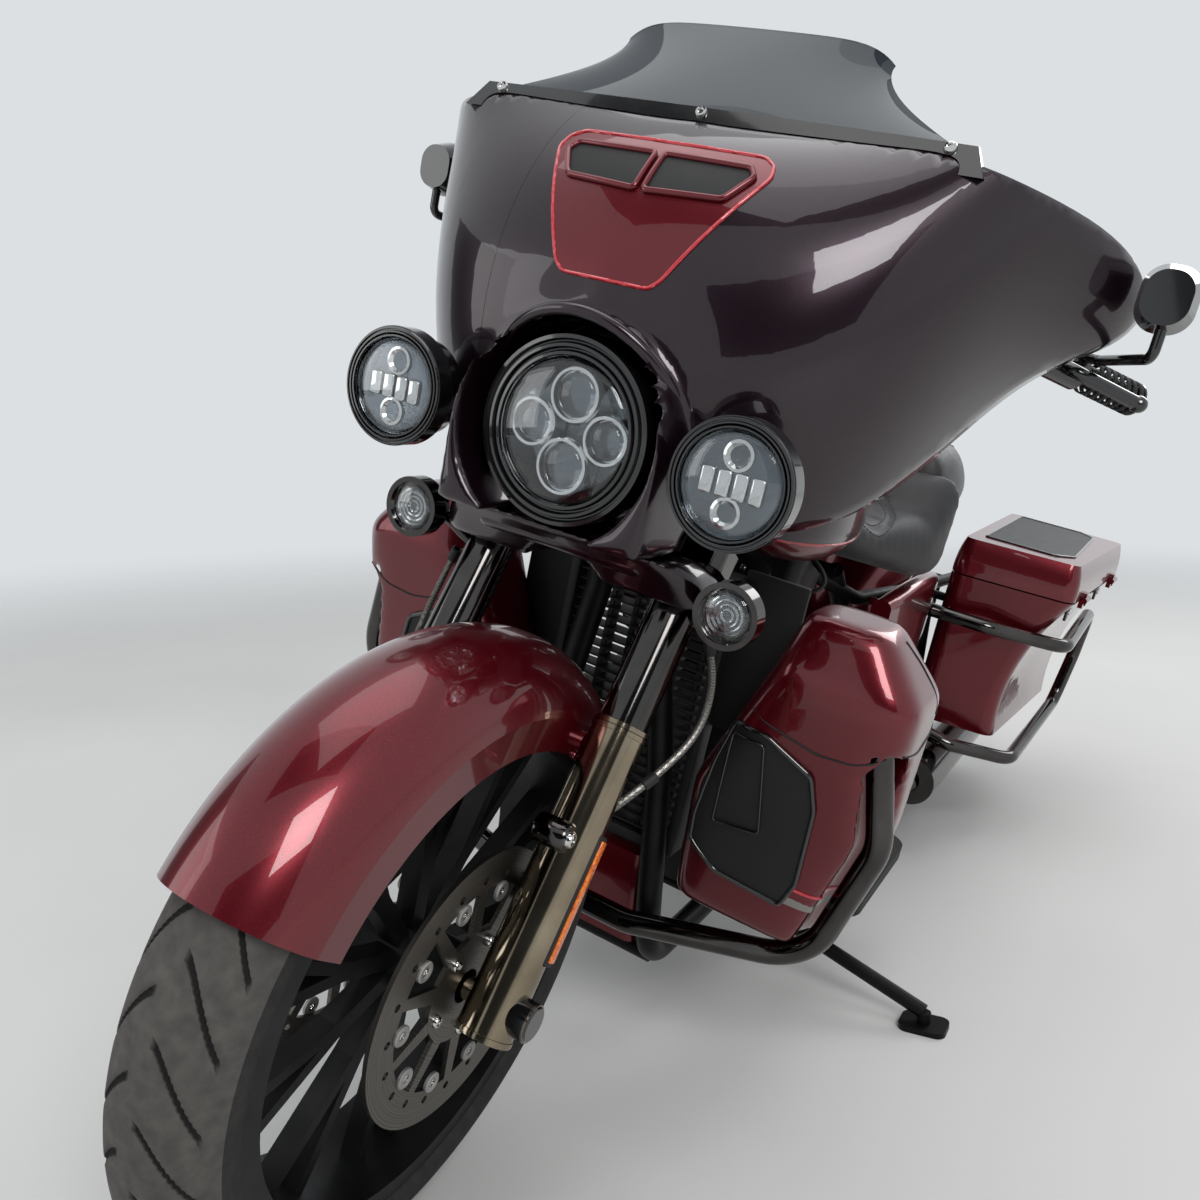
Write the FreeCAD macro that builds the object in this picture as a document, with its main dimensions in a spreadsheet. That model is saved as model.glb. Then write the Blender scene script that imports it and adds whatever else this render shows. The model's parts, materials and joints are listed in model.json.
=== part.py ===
"""A touring cruiser motorcycle with a fork-mounted fairing, as it parks: leaning on its side stand.

Every piece is drawn on the upright machine, in millimetres. Places are told as forward of the rear
axle, left of the middle plane and up from the ground line. The last step leans the whole machine onto
its stand, with both tyres and the foot of the stand on the ground.
"""

import FreeCAD, Part
import math
import os
import re
import Sketcher

Vector = FreeCAD.Vector
Placement = FreeCAD.Placement
Rotation = FreeCAD.Rotation

SEAM = 0.3
REAR_FENDER_GAP = 24
LEFT = Vector(1, 0, 0)
FORWARD = Vector(0, -1, 0)
UP = Vector(0, 0, 1)

# name, number, what it is
SIZES = [
    ("lean_angle", 14.4, "lean onto the stand, degrees"),
    ("wheelbase", 1625, "axle to axle"),
    ("front_tyre_radius", 345, ""),
    ("front_crown", 66, "radius of the tread across"),
    ("front_tyre_half", 64, "half of the tyre's width"),
    ("front_bead_radius", 266, ""),
    ("front_bead_half", 50, ""),
    ("rear_tyre_radius", 328, ""),
    ("rear_crown", 95, ""),
    ("rear_tyre_half", 90, ""),
    ("rear_bead_radius", 229, ""),
    ("rear_bead_half", 72, ""),
    ("bead_height", 8, "straight foot of a tyre's side"),
    ("tyre_seat", 0.3, "gap between tyre and rim"),
    ("rim_wall", 14, "barrel of a rim"),
    ("rim_flange", 6, ""),
    ("spoke_count", 10, ""),
    ("spoke_thickness", 24, "across the wheel"),
    ("spoke_split", 112, "radius where a spoke forks"),
    ("spoke_root", 10, "half width at the hub"),
    ("spoke_spread", 34, "half width of a fork at the rim"),
    ("spoke_arm", 13, "width of one arm"),
    ("hub_radius", 37, ""),
    ("front_hub_half", 72, ""),
    ("rear_hub_half", 86, ""),
    ("axle_radius", 12.5, ""),
    ("axle_play", 0.08, "radial clearance of an axle"),
    ("rotor_radius", 150, ""),
    ("rotor_inner", 112, "inside of the braking band"),
    ("rotor_thickness", 5, ""),
    ("front_rotor_left", 80, "middle of the disc from the middle plane"),
    ("rear_rotor_left", 112, ""),
    ("rotor_hole_radius", 4.2, ""),
    ("rotor_hole_count", 20, ""),
    ("carrier_radius", 60, "centre plate of a disc"),
    ("carrier_arms", 10, ""),
    ("fork_rake", 29.25, "fork legs from the vertical, degrees"),
    ("steering_rake", 26, "steering axis from the vertical, degrees"),
    ("leg_left", 122, "fork leg from the middle plane"),
    ("slider_radius", 30, ""),
    ("slider_top", 307, "along the fork from the axle"),
    ("slider_foot", 34, "below the axle"),
    ("cover_radius", 27.5, "upper fork cover"),
    ("fork_tube", 24.5, "radius of a fork tube in its clamps"),
    ("clamp_low", 496, "underside of the lower clamp, along the fork"),
    ("clamp_thickness", 30, ""),
    ("clamp_high", 706, "underside of the upper clamp, along the fork"),
    ("clamp_edge", 38, "clamp metal around a leg"),
    ("stem_radius", 15, ""),
    ("neck_radius", 33, ""),
    ("neck_gap", 3, "between neck and clamps"),
    ("steering_lock", 32, "each way, degrees"),
    ("fender_gap", 15, "fender outside the tyre's tread"),
    ("fender_wall", 4, ""),
    ("front_fender_wrap", 121, "degrees"),
    ("front_fender_turn", 3, "wrap's middle behind the vertical, degrees"),
    ("front_fender_skirt", 256, "radius of its lower edge"),
    ("rear_fender_half", 104, ""),
    ("rear_fender_wrap", 150, "degrees"),
    ("rear_fender_turn", -8, ""),
    ("rear_fender_skirt", 262, ""),
    ("headlamp_forward", 1505, "middle of the lens"),
    ("headlamp_up", 901, ""),
    ("headlamp_radius", 98, ""),
    ("headlamp_depth", 88, ""),
    ("hood_gap", 17, "air between lamp and hood"),
    ("aux_forward", 1528, ""),
    ("aux_left", 199, ""),
    ("aux_up", 901, ""),
    ("aux_radius", 63, ""),
    ("aux_depth", 74, ""),
    ("signal_forward", 1461, ""),
    ("signal_left", 201, ""),
    ("signal_up", 762, ""),
    ("signal_radius", 35, ""),
    ("signal_depth", 46, ""),
    ("shell_wall", 6, "moulded panels"),
    ("frame_tube", 17, "radius of the cradle's tubes"),
    ("backbone_tube", 24, ""),
    ("cradle_left", 116, ""),
    ("cradle_up", 178, ""),
    ("crank_forward", 872, ""),
    ("crank_up", 362, ""),
    ("cylinder_angle", 22.5, "each cylinder from the vertical, degrees"),
    ("cylinder_base", 138, "from the crank"),
    ("barrel_radius", 54, ""),
    ("fin_half", 74, ""),
    ("fin_corner", 30, ""),
    ("fin_thickness", 4, ""),
    ("fin_pitch", 9.5, ""),
    ("barrel_fins", 10, ""),
    ("head_fins", 6, ""),
    ("rocker_height", 48, ""),
    ("case_half", 92, "half width of the crankcase"),
    ("muffler_radius", 49, ""),
    ("muffler_left", 262, ""),
    ("muffler_up", 236, ""),
    ("muffler_front", 330, ""),
    ("muffler_back", -400, ""),
    ("header_radius", 22, ""),
    ("guard_tube", 16, "engine guard"),
    ("bag_tube", 14, "bag guard"),
    ("bag_wall", 4, ""),
    ("bag_inner", 196, "inner side of a bag"),
    ("bag_outer", 405, ""),
    ("bag_flare", 70, "how far the top leans out"),
    ("bag_front", 166, ""),
    ("bag_back", -420, ""),
    ("bag_bottom", 318, ""),
    ("bag_rim", 640, "where bag and lid meet"),
    ("lid_top", 716, ""),
    ("lid_gap", 3, ""),
    ("lid_open", 70, "degrees"),
    ("bag_rake", 34, "how far the top of a bag's front leans forward"),
    ("bag_sweep", 30, "how far its front outer corner lies back"),
    ("bag_taper", 40, "how far that corner lies in"),
    ("bag_corner", 30, ""),
    ("hinge_pin", 3, "radius"),
    ("hinge_barrel", 6, "radius"),
    ("hinge_reach", 8, "hinge line outside the bag's wall"),
    ("hinge_spread", 180, "hinges from the middle of a lid"),
    ("stand_forward", 905, "side stand's pivot"),
    ("stand_left", 160, ""),
    ("stand_up", 172, ""),
    ("foot_forward", 942, "side stand's foot on the ground"),
    ("foot_left", 484, "from the tyres' ground line"),
    ("stand_tube", 11, ""),
    ("stand_fold", 92, "degrees"),
    ("bar_tube", 13, "handlebar"),
    ("grip_radius", 19, ""),
    ("belt_width", 26, ""),
    ("belt_left", 118, ""),
    ("pulley_radius", 108, ""),
    ("door_open", 95, "fuel door, degrees"),
]

document = FreeCAD.newDocument("touring_cruiser")
sheet = document.addObject("Spreadsheet::Sheet", "Sizes")
for row, (alias, number, meaning) in enumerate(SIZES, start=1):
    sheet.set(f"A{row}", meaning or alias.replace("_", " "))
    sheet.set(f"B{row}", str(number))
    sheet.setAlias(f"B{row}", alias)
document.recompute()

ALIAS = re.compile(r"\b(" + "|".join(alias for alias, number, meaning in SIZES) + r")\b")
NODES = {}


def size(alias):
    """A driving dimension, read from the sheet."""
    return float(sheet.get(alias))


def formula(text):
    """A formula over the sheet's names, as the document writes it."""
    return ALIAS.sub(r"Sizes.\1", str(text))


def worth(text):
    """What a formula comes to now."""
    return float(sheet.evalExpression(formula(text)))


def at(forward, left, up):
    """A place on the upright machine."""
    return Vector(left, -forward, up)


def node(name, item, local=None):
    """Keeps an object as the sub-part of that name, at its place on the upright machine."""
    item.Label = name
    NODES[name] = (item, local or Placement())
    return item


def solid(name, shape):
    """A sub-part whose shape is worked out here from the sizes."""
    item = document.addObject("Part::Feature", name)
    item.Shape = shape
    return node(name, item)


def fused(first, *others):
    """One shape from several that meet."""
    return first.multiFuse(list(others)).removeSplitter() if others else first


def main_solid(shape):
    """The largest solid of a shape, without the scraps a cut leaves."""
    return max(shape.Solids, key=lambda piece: piece.Volume)


def mirrored(shape):
    """The same shape on the machine's other side."""
    return shape.mirror(Vector(), LEFT)


def both(shape):
    """The shape and its mirror image."""
    return Part.makeCompound([shape, mirrored(shape)])


# Wires, tubes and lofts


def rounded(points, bend, closed=False):
    """A wire from point to point with a tangent arc at each corner, as large as its runs allow."""
    count = len(points)
    corners = range(count) if closed else range(1, count - 1)
    arcs = []
    for index in corners:
        corner = points[index]
        before = points[index - 1] - corner
        after = points[(index + 1) % count] - corner
        room = 0.48 * min(before.Length, after.Length)
        half = 0.5 * before.getAngle(after)
        radius = bend[index] if isinstance(bend, (list, tuple)) else bend
        trim = min(radius / math.tan(half), room)
        before.normalize()
        after.normalize()
        reach = trim * math.tan(half)
        middle = corner + (before + after).normalize() * (reach / math.sin(half) - reach)
        arcs.append((corner + before * trim, middle, corner + after * trim))
    edges = []
    last = arcs[-1][2] if closed else points[0]
    for start, middle, end in arcs:
        edges.append(Part.makeLine(last, start))
        edges.append(Part.Arc(start, middle, end).toShape())
        last = end
    if not closed:
        edges.append(Part.makeLine(last, points[-1]))
    return Part.Wire(edges)


def tube(points, radius, bend=60):
    """A round tube, bent from point to point."""
    path = rounded(points, bend) if len(points) > 2 else Part.Wire([Part.makeLine(*points)])
    ring = Part.Wire([Part.makeCircle(radius, points[0], points[1] - points[0])])
    return path.makePipeShell([ring], True, False)


def rod(start, end, radius):
    """A straight round bar."""
    return Part.makeCylinder(radius, (end - start).Length, start, end - start)


def loft(wires, ruled=False):
    """A closed solid through sections."""
    return Part.makeLoft(wires, True, ruled)


def block(forward, left, up, bend=0):
    """A box between pairs of forward, left and up values, with its upright edges rounded."""
    corners = [
        at(forward[0], left[0], up[0]),
        at(forward[1], left[0], up[0]),
        at(forward[1], left[1], up[0]),
        at(forward[0], left[1], up[0]),
    ]
    if bend:
        outline = rounded(corners, bend, closed=True)
    else:
        outline = Part.makePolygon(corners + corners[:1])
    return Part.Face(outline).extrude(UP * (up[1] - up[0]))


def level_section(forward, left, up, bend):
    """A rounded rectangle lying level, between pairs of forward and left values."""
    corners = [
        at(forward[0], left[0], up),
        at(forward[1], left[0], up),
        at(forward[1], left[1], up),
        at(forward[0], left[1], up),
    ]
    return rounded(corners, bend, closed=True)


def cross_section(forward, left, up, bend):
    """A rounded rectangle across the machine, between pairs of left and up values."""
    corners = [
        at(forward, left[0], up[0]),
        at(forward, left[1], up[0]),
        at(forward, left[1], up[1]),
        at(forward, left[0], up[1]),
    ]
    return rounded(corners, bend, closed=True)


# Bodies made from sketches


def plane_of(body, role):
    """One of a body's own origin planes."""
    return next(feature for feature in body.Origin.OriginFeatures if feature.Role == role)


def profile(body, name, role, points, shift="0"):
    """A closed sketch of lines and arcs, each corner held by formulas of the sizes.

    A point is (across, along) and starts a line, or (across, along, radius, side) and starts an arc
    that bulges to the left of its way when side is 1 and to the right when it is -1.
    """
    sketch = body.newObject("Sketcher::SketchObject", name)
    sketch.AttachmentSupport = (plane_of(body, role), [""])
    sketch.MapMode = "FlatFace"
    sketch.setExpression("AttachmentOffset.Base.z", formula(shift))
    places = [Vector(worth(point[0]), worth(point[1]), 0) for point in points]
    count = len(points)
    for index, point in enumerate(points):
        start = places[index]
        end = places[(index + 1) % count]
        if len(point) == 2:
            sketch.addGeometry(Part.LineSegment(start, end), False)
            continue
        radius = worth(point[2])
        half = 0.5 * (end - start).Length
        side = Vector(start.y - end.y, end.x - start.x, 0).normalize() * point[3]
        centre = (start + end) * 0.5 - side * math.sqrt(max(radius * radius - half * half, 0))
        turn = [place - centre for place in ((end, start) if point[3] > 0 else (start, end))]
        angles = [math.atan2(arm.y, arm.x) for arm in turn]
        circle = Part.Circle(centre, Vector(0, 0, 1), radius)
        sketch.addGeometry(Part.ArcOfCircle(circle, angles[0], angles[1]), False)
    ends = [(2, 1) if len(point) > 2 and point[3] > 0 else (1, 2) for point in points]
    for index, point in enumerate(points):
        after = (index + 1) % count
        sketch.addConstraint(Sketcher.Constraint("Coincident", index, ends[index][1], after, ends[after][0]))
        if len(point) > 2:
            held = sketch.addConstraint(Sketcher.Constraint("Radius", index, worth(point[2])))
            sketch.setExpression(f"Constraints[{held}]", formula(point[2]))
        for kind, value in (("DistanceX", point[0]), ("DistanceY", point[1])):
            held = sketch.addConstraint(Sketcher.Constraint(kind, -1, 1, index, ends[index][0], worth(value)))
            sketch.setExpression(f"Constraints[{held}]", formula(value))
    return sketch


def ring_profile(body, name, role, circles, shift="0"):
    """A sketch of whole circles, each (across, along, radius)."""
    sketch = body.newObject("Sketcher::SketchObject", name)
    sketch.AttachmentSupport = (plane_of(body, role), [""])
    sketch.MapMode = "FlatFace"
    sketch.setExpression("AttachmentOffset.Base.z", formula(shift))
    for index, (across, along, radius) in enumerate(circles):
        centre = Vector(worth(across), worth(along), 0)
        sketch.addGeometry(Part.Circle(centre, Vector(0, 0, 1), worth(radius)), False)
        held = sketch.addConstraint(Sketcher.Constraint("Radius", index, worth(radius)))
        sketch.setExpression(f"Constraints[{held}]", formula(radius))
        for kind, value in (("DistanceX", across), ("DistanceY", along)):
            held = sketch.addConstraint(Sketcher.Constraint(kind, -1, 1, index, 3, worth(value)))
            sketch.setExpression(f"Constraints[{held}]", formula(value))
    return sketch


def new_body(name):
    """An empty body."""
    return document.addObject("PartDesign::Body", name)


def revolve(body, name, points, role="XY_Plane", axis="H_Axis"):
    """A full turn of a profile about an axis of its sketch."""
    sketch = profile(body, name + "_profile", role, points)
    turned = body.newObject("PartDesign::Revolution", name)
    turned.Profile = sketch
    turned.ReferenceAxis = (sketch, [axis])
    turned.Angle = 360
    return turned


def pad(body, name, sketch, length, midplane=False, reverse=False):
    """A sketch thickened into a solid."""
    grown = body.newObject("PartDesign::Pad", name)
    grown.Profile = sketch
    grown.setExpression("Length", formula(length))
    grown.Midplane = midplane
    grown.Reversed = reverse
    return grown


def pocket(body, name, sketch, length, midplane=False, reverse=False):
    """A sketch cut out of the body."""
    cut = body.newObject("PartDesign::Pocket", name)
    cut.Profile = sketch
    cut.setExpression("Length", formula(length))
    cut.Midplane = midplane
    cut.Reversed = reverse
    return cut


def around(body, name, feature, count, axis="X_Axis"):
    """Copies of a feature round one of the body's own axes."""
    pattern = body.newObject("PartDesign::PolarPattern", name)
    pattern.Originals = [feature]
    pattern.Axis = (plane_of(body, axis), [""])
    pattern.Angle = 360
    pattern.setExpression("Occurrences", formula(count))
    body.Tip = pattern
    return pattern


def row_of(body, name, feature, count, length, axis="Z_Axis"):
    """Copies of a feature in a line along one of the body's own axes."""
    pattern = body.newObject("PartDesign::LinearPattern", name)
    pattern.Originals = [feature]
    pattern.Direction = (plane_of(body, axis), [""])
    pattern.setExpression("Length", formula(length))
    pattern.setExpression("Occurrences", formula(count))
    body.Tip = pattern
    return pattern


# Places that several pieces share

front_axle = at(size("wheelbase"), 0, size("front_tyre_radius"))
rear_axle = at(0, 0, size("rear_tyre_radius"))
fork_frame = Placement(front_axle, Rotation(LEFT, -size("fork_rake")))
steering_direction = Rotation(LEFT, -size("steering_rake")).multVec(UP)


def fork_point(along, left=0.0, ahead=0.0):
    """A place told from the front axle: along the legs, to the left and ahead of them."""
    return fork_frame.multVec(Vector(left, -ahead, along))


def steering_point(up):
    """The place on the steering axis at a height."""
    return front_axle + steering_direction * ((up - front_axle.z) / steering_direction.z)


def make_tyre(name, end, axle):
    """A tyre: round crown, short sides and straight beads."""
    body = new_body(name)
    radius, crown, half = f"{end}_tyre_radius", f"{end}_crown", f"{end}_tyre_half"
    bead, foot = f"{end}_bead_radius", f"{end}_bead_half"
    shoulder = f"{radius} - {crown} + sqrt({crown} ^ 2 - {half} ^ 2)"
    revolve(body, name + "_turn", [
        (f"-{half}", shoulder, crown, 1),
        (half, shoulder),
        (foot, f"{bead} + bead_height"),
        (foot, bead),
        (f"-{foot}", bead),
        (f"-{foot}", f"{bead} + bead_height"),
    ])
    return node(name, body, Placement(axle, Rotation()))


def make_rim(name, end, axle):
    """A cast wheel: hub, forked spokes and a flanged barrel."""
    body = new_body(name)
    bead, foot, hub = f"{end}_bead_radius", f"{end}_bead_half", f"{end}_hub_half"
    revolve(body, name + "_hub", [
        (f"-{hub}", "axle_radius + axle_play"),
        (f"-{hub}", "hub_radius"),
        (hub, "hub_radius"),
        (hub, "axle_radius + axle_play"),
    ])
    barrel = f"{bead} - tyre_seat - rim_wall"
    sketch = profile(body, name + "_spoke_profile", "YZ_Plane", [
        ("-spoke_root", "hub_radius - 4"),
        ("spoke_root", "hub_radius - 4"),
        ("spoke_root", "spoke_split"),
        ("spoke_spread", f"{barrel} + 2"),
        ("spoke_spread - spoke_arm", f"{barrel} + 4"),
        ("0", "spoke_split + 24"),
        ("spoke_arm - spoke_spread", f"{barrel} + 4"),
        ("-spoke_spread", f"{barrel} + 2"),
        ("-spoke_root", "spoke_split"),
    ])
    spoke = pad(body, name + "_spoke", sketch, "spoke_thickness", midplane=True)
    around(body, name + "_spokes", spoke, "spoke_count")
    revolve(body, name + "_barrel", [
        (f"-{foot} - rim_flange", barrel),
        (f"-{foot} - rim_flange", f"{bead} + bead_height - 1"),
        (f"-{foot} - tyre_seat", f"{bead} + bead_height - 1"),
        (f"-{foot} - tyre_seat", f"{bead} - tyre_seat"),
        (f"{foot} + tyre_seat", f"{bead} - tyre_seat"),
        (f"{foot} + tyre_seat", f"{bead} + bead_height - 1"),
        (f"{foot} + rim_flange", f"{bead} + bead_height - 1"),
        (f"{foot} + rim_flange", barrel),
    ])
    return node(name, body, Placement(axle, Rotation()))


def make_rotor(name, left, hub):
    """A drilled brake disc on a carrier that reaches back to the hub's face."""
    body = new_body(name)
    revolve(body, name + "_band", [
        (f"{left} - rotor_thickness / 2", "rotor_inner"),
        (f"{left} - rotor_thickness / 2", "rotor_radius"),
        (f"{left} + rotor_thickness / 2", "rotor_radius"),
        (f"{left} + rotor_thickness / 2", "rotor_inner"),
    ])
    holes = ring_profile(body, name + "_hole", "YZ_Plane", [
        ("0", "rotor_inner + 0.3 * (rotor_radius - rotor_inner)", "rotor_hole_radius"),
    ], f"{left} - rotor_thickness")
    hole = pocket(body, name + "_hole_cut", holes, "2 * rotor_thickness", reverse=True)
    around(body, name + "_holes", hole, "rotor_hole_count")
    arm = profile(body, name + "_arm_profile", "YZ_Plane", [
        ("-9", "carrier_radius - 8"),
        ("9", "carrier_radius - 8"),
        ("6", "rotor_inner + 3"),
        ("-6", "rotor_inner + 3"),
    ], f"{left} - rotor_thickness / 2")
    pad(body, name + "_arm", arm, "rotor_thickness")
    around(body, name + "_arms", document.getObject(name + "_arm"), "carrier_arms")
    revolve(body, name + "_carrier", [
        (hub, "axle_radius + 6"),
        (hub, "carrier_radius - 20"),
        (f"{left} - rotor_thickness / 2", "carrier_radius"),
        (f"{left} + rotor_thickness / 2", "carrier_radius"),
        (f"{left} + rotor_thickness / 2", "axle_radius + 6"),
    ])
    return body


def make_wheels():
    """Both wheels with their brake discs and the rear pulley."""
    make_tyre("front_tyre", "front", front_axle)
    make_rim("front_rim", "front", front_axle)
    left_disc = make_rotor("front_rotor_left_side", "front_rotor_left", "front_hub_half")
    right_disc = document.addObject("Part::Mirroring", "front_rotor_right_side")
    right_disc.Source = left_disc
    right_disc.Normal = LEFT
    discs = document.addObject("Part::Compound", "front_rotors")
    discs.Links = [left_disc, right_disc]
    node("front_rotors", discs, Placement(front_axle, Rotation()))
    make_tyre("rear_tyre", "rear", rear_axle)
    make_rim("rear_rim", "rear", rear_axle)
    disc = make_rotor("rear_rotor_side", "rear_rotor_left", "rear_hub_half")
    disc.Placement = Placement(Vector(), Rotation(UP, 180))
    pulley = new_body("rear_pulley")
    revolve(pulley, "rear_pulley_turn", [
        ("rear_hub_half", "axle_radius + 6"),
        ("rear_hub_half", "carrier_radius"),
        ("belt_left - belt_width / 2 - 4", "pulley_radius - 16"),
        ("belt_left - belt_width / 2 - 4", "pulley_radius + 5"),
        ("belt_left - belt_width / 2 - 1", "pulley_radius + 5"),
        ("belt_left - belt_width / 2 - 1", "pulley_radius"),
        ("belt_left + belt_width / 2", "pulley_radius"),
        ("belt_left + belt_width / 2", "pulley_radius - 10"),
        ("belt_left - belt_width / 2 + 6", "carrier_radius"),
        ("belt_left - belt_width / 2 + 6", "axle_radius + 6"),
    ])
    discs = document.addObject("Part::Compound", "rear_discs")
    discs.Links = [disc, pulley]
    node("rear_discs", discs, Placement(rear_axle, Rotation()))


def make_fork():
    """Lower legs with the axle, upper covers, and the clamps with their stem."""
    leg, foot, top = size("leg_left"), size("slider_foot"), size("slider_top")
    radius = size("slider_radius")
    lower = [rod(fork_point(-foot, leg), fork_point(top, leg), radius)]
    lower.append(rod(fork_point(0, leg), fork_point(0, leg + radius + 14), 20))
    lower = fused(*lower)
    axle = rod(at(size("wheelbase"), -leg, front_axle.z), at(size("wheelbase"), leg, front_axle.z),
               size("axle_radius"))
    solid("fork_sliders", fused(lower, mirrored(lower), axle))
    cover = rod(fork_point(top + SEAM, leg), fork_point(size("clamp_low") + 1, leg), size("cover_radius"))
    low, high, thick = size("clamp_low"), size("clamp_high"), size("clamp_thickness")
    edge = size("clamp_edge")
    parts = []
    for start, height in ((low, thick), (high, thick - 6)):
        outline = rounded([
            fork_point(start, leg + edge, -34),
            fork_point(start, leg + edge, 30),
            fork_point(start, 40, 72),
            fork_point(start, -40, 72),
            fork_point(start, -leg - edge, 30),
            fork_point(start, -leg - edge, -34),
            fork_point(start, -leg + 8, -34),
            fork_point(start, -36, 6),
            fork_point(start, 36, 6),
            fork_point(start, leg - 8, -34),
        ], 20, closed=True)
        parts.append(Part.Face(outline).extrude(fork_frame.Rotation.multVec(UP) * height))
    for side in (leg, -leg):
        parts.append(rod(fork_point(low, side), fork_point(high + thick, side), size("fork_tube")))
    parts.append(rod(steering_point(fork_point(low).z + 8), steering_point(fork_point(high).z + 12),
                     size("stem_radius")))
    solid("fork_uppers", fused(cover, mirrored(cover), *parts))


def neck_span():
    """Lower and upper end of the neck on the steering axis."""
    bottom = fork_point(size("clamp_low") + size("clamp_thickness"), 0, 50).z + size("neck_gap")
    top = fork_point(size("clamp_high"), 0, 20).z - size("neck_gap")
    return steering_point(bottom + 14), steering_point(top - 14)


def fender(name, end, axle, half, gap, wrap, turn, skirt, hip):
    """An arched fender: a crown across, straight skirts, turned part way about the axle."""
    body = new_body(name)
    ring = f"({end}_tyre_radius + {gap})"
    inner = f"({half} - fender_wall)"
    sketch = profile(body, name + "_section", "XZ_Plane", [
        (f"-{half}", f"{ring} - {hip}", f"{half} * 1.02", 1),
        (half, f"{ring} - {hip}"),
        (half, skirt),
        (inner, skirt),
        (inner, f"{ring} - {hip}", f"{inner} * 1.02", -1),
        (f"-{inner}", f"{ring} - {hip}"),
        (f"-{inner}", skirt),
        (f"-{half}", skirt),
    ])
    turned = body.newObject("PartDesign::Revolution", name + "_turn")
    turned.Profile = sketch
    turned.ReferenceAxis = (sketch, ["H_Axis"])
    turned.setExpression("Angle", formula(wrap))
    turned.Midplane = True
    return node(name, body, Placement(axle, Rotation(LEFT, -size(turn))))


def make_fenders():
    """Front and rear fenders, the front one with the bosses that its fork legs hold."""
    half = "(front_crown + fender_gap + 3)"
    front = fender("front_fender", "front", front_axle, half, "fender_gap",
                   "front_fender_wrap", "front_fender_turn", "front_fender_skirt", "68")
    angle = "((fork_rake - front_fender_turn) * 1 deg)"
    for side in (1, -1):
        boss = ring_profile(front, f"fender_boss_{side + 1}", "YZ_Plane", [
            (f"275 * sin{angle}", f"275 * cos{angle}", "12"),
        ], f"{side} * ({half} - 2)")
        pad(front, f"fender_boss_pad_{side + 1}", boss, f"leg_left - slider_radius - {half} + 2 - {SEAM}",
            reverse=side < 0)
    fender("rear_fender", "rear", rear_axle, "rear_fender_half", str(REAR_FENDER_GAP),
           "rear_fender_wrap", "rear_fender_turn", "rear_fender_skirt", "84")


# left, top (forward, up), middle (forward, up), bottom (forward, up)
FAIRING_SECTIONS = [
    (0, (1346, 1234), (1492, 1040), (1438, 846)),
    (150, (1346, 1234), (1476, 1030), (1420, 842)),
    (262, (1346, 1231), (1412, 1052), (1340, 876)),
    (347, (1304, 1217), (1284, 1112), (1204, 1014)),
    (410, (1204, 1200), (1190, 1140), (1140, 1082)),
    (451, (1116, 1156), (1112, 1146), (1104, 1136)),
]


def fairing_section(row, depth):
    """One side view of the fairing's shell, depth deep at its back."""
    left, top, middle, bottom = row
    front = [at(place[0], left, place[1]) for place in (top, middle, bottom)]
    back_low = front[2] - FORWARD * depth
    back_high = front[0] - FORWARD * depth
    return Part.Wire([
        Part.Arc(*front).toShape(),
        Part.makeLine(front[2], back_low),
        Part.makeLine(back_low, back_high),
        Part.makeLine(back_high, front[0]),
    ])


def fairing_half(depth):
    """The left half of the fairing's shell."""
    return loft([fairing_section(row, depth) for row in FAIRING_SECTIONS])


def hood_outline(forward, half, top, bottom):
    """The arch of the lamp's hood, seen from the front."""
    crown = at(forward, 0, top)
    high = top - half
    return Part.Wire([
        Part.Arc(at(forward, -half, high), crown, at(forward, half, high)).toShape(),
        Part.makeLine(at(forward, half, high), at(forward, half, bottom)),
        Part.makeLine(at(forward, half, bottom), at(forward, -half, bottom)),
        Part.makeLine(at(forward, -half, bottom), at(forward, -half, high)),
    ])


def fork_room():
    """The space the legs and clamps take inside the fairing."""
    leg, edge = size("leg_left"), size("clamp_edge")
    legs = []
    for side in (leg, -leg):
        legs.append(rod(fork_point(430, side), fork_point(500, side), size("cover_radius") + SEAM))
        legs.append(rod(fork_point(500, side), fork_point(780, side), size("fork_tube") + SEAM))
    plates = []
    for start in (size("clamp_low"), size("clamp_high")):
        plate = Part.makeBox(2 * (leg + edge + SEAM), 2 * 74, size("clamp_thickness") + 12)
        plate.Placement = fork_frame.multiply(Placement(Vector(-leg - edge - SEAM, -74, start - 6), Rotation()))
        plates.append(plate)
    return Part.makeCompound(legs + plates)


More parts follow.
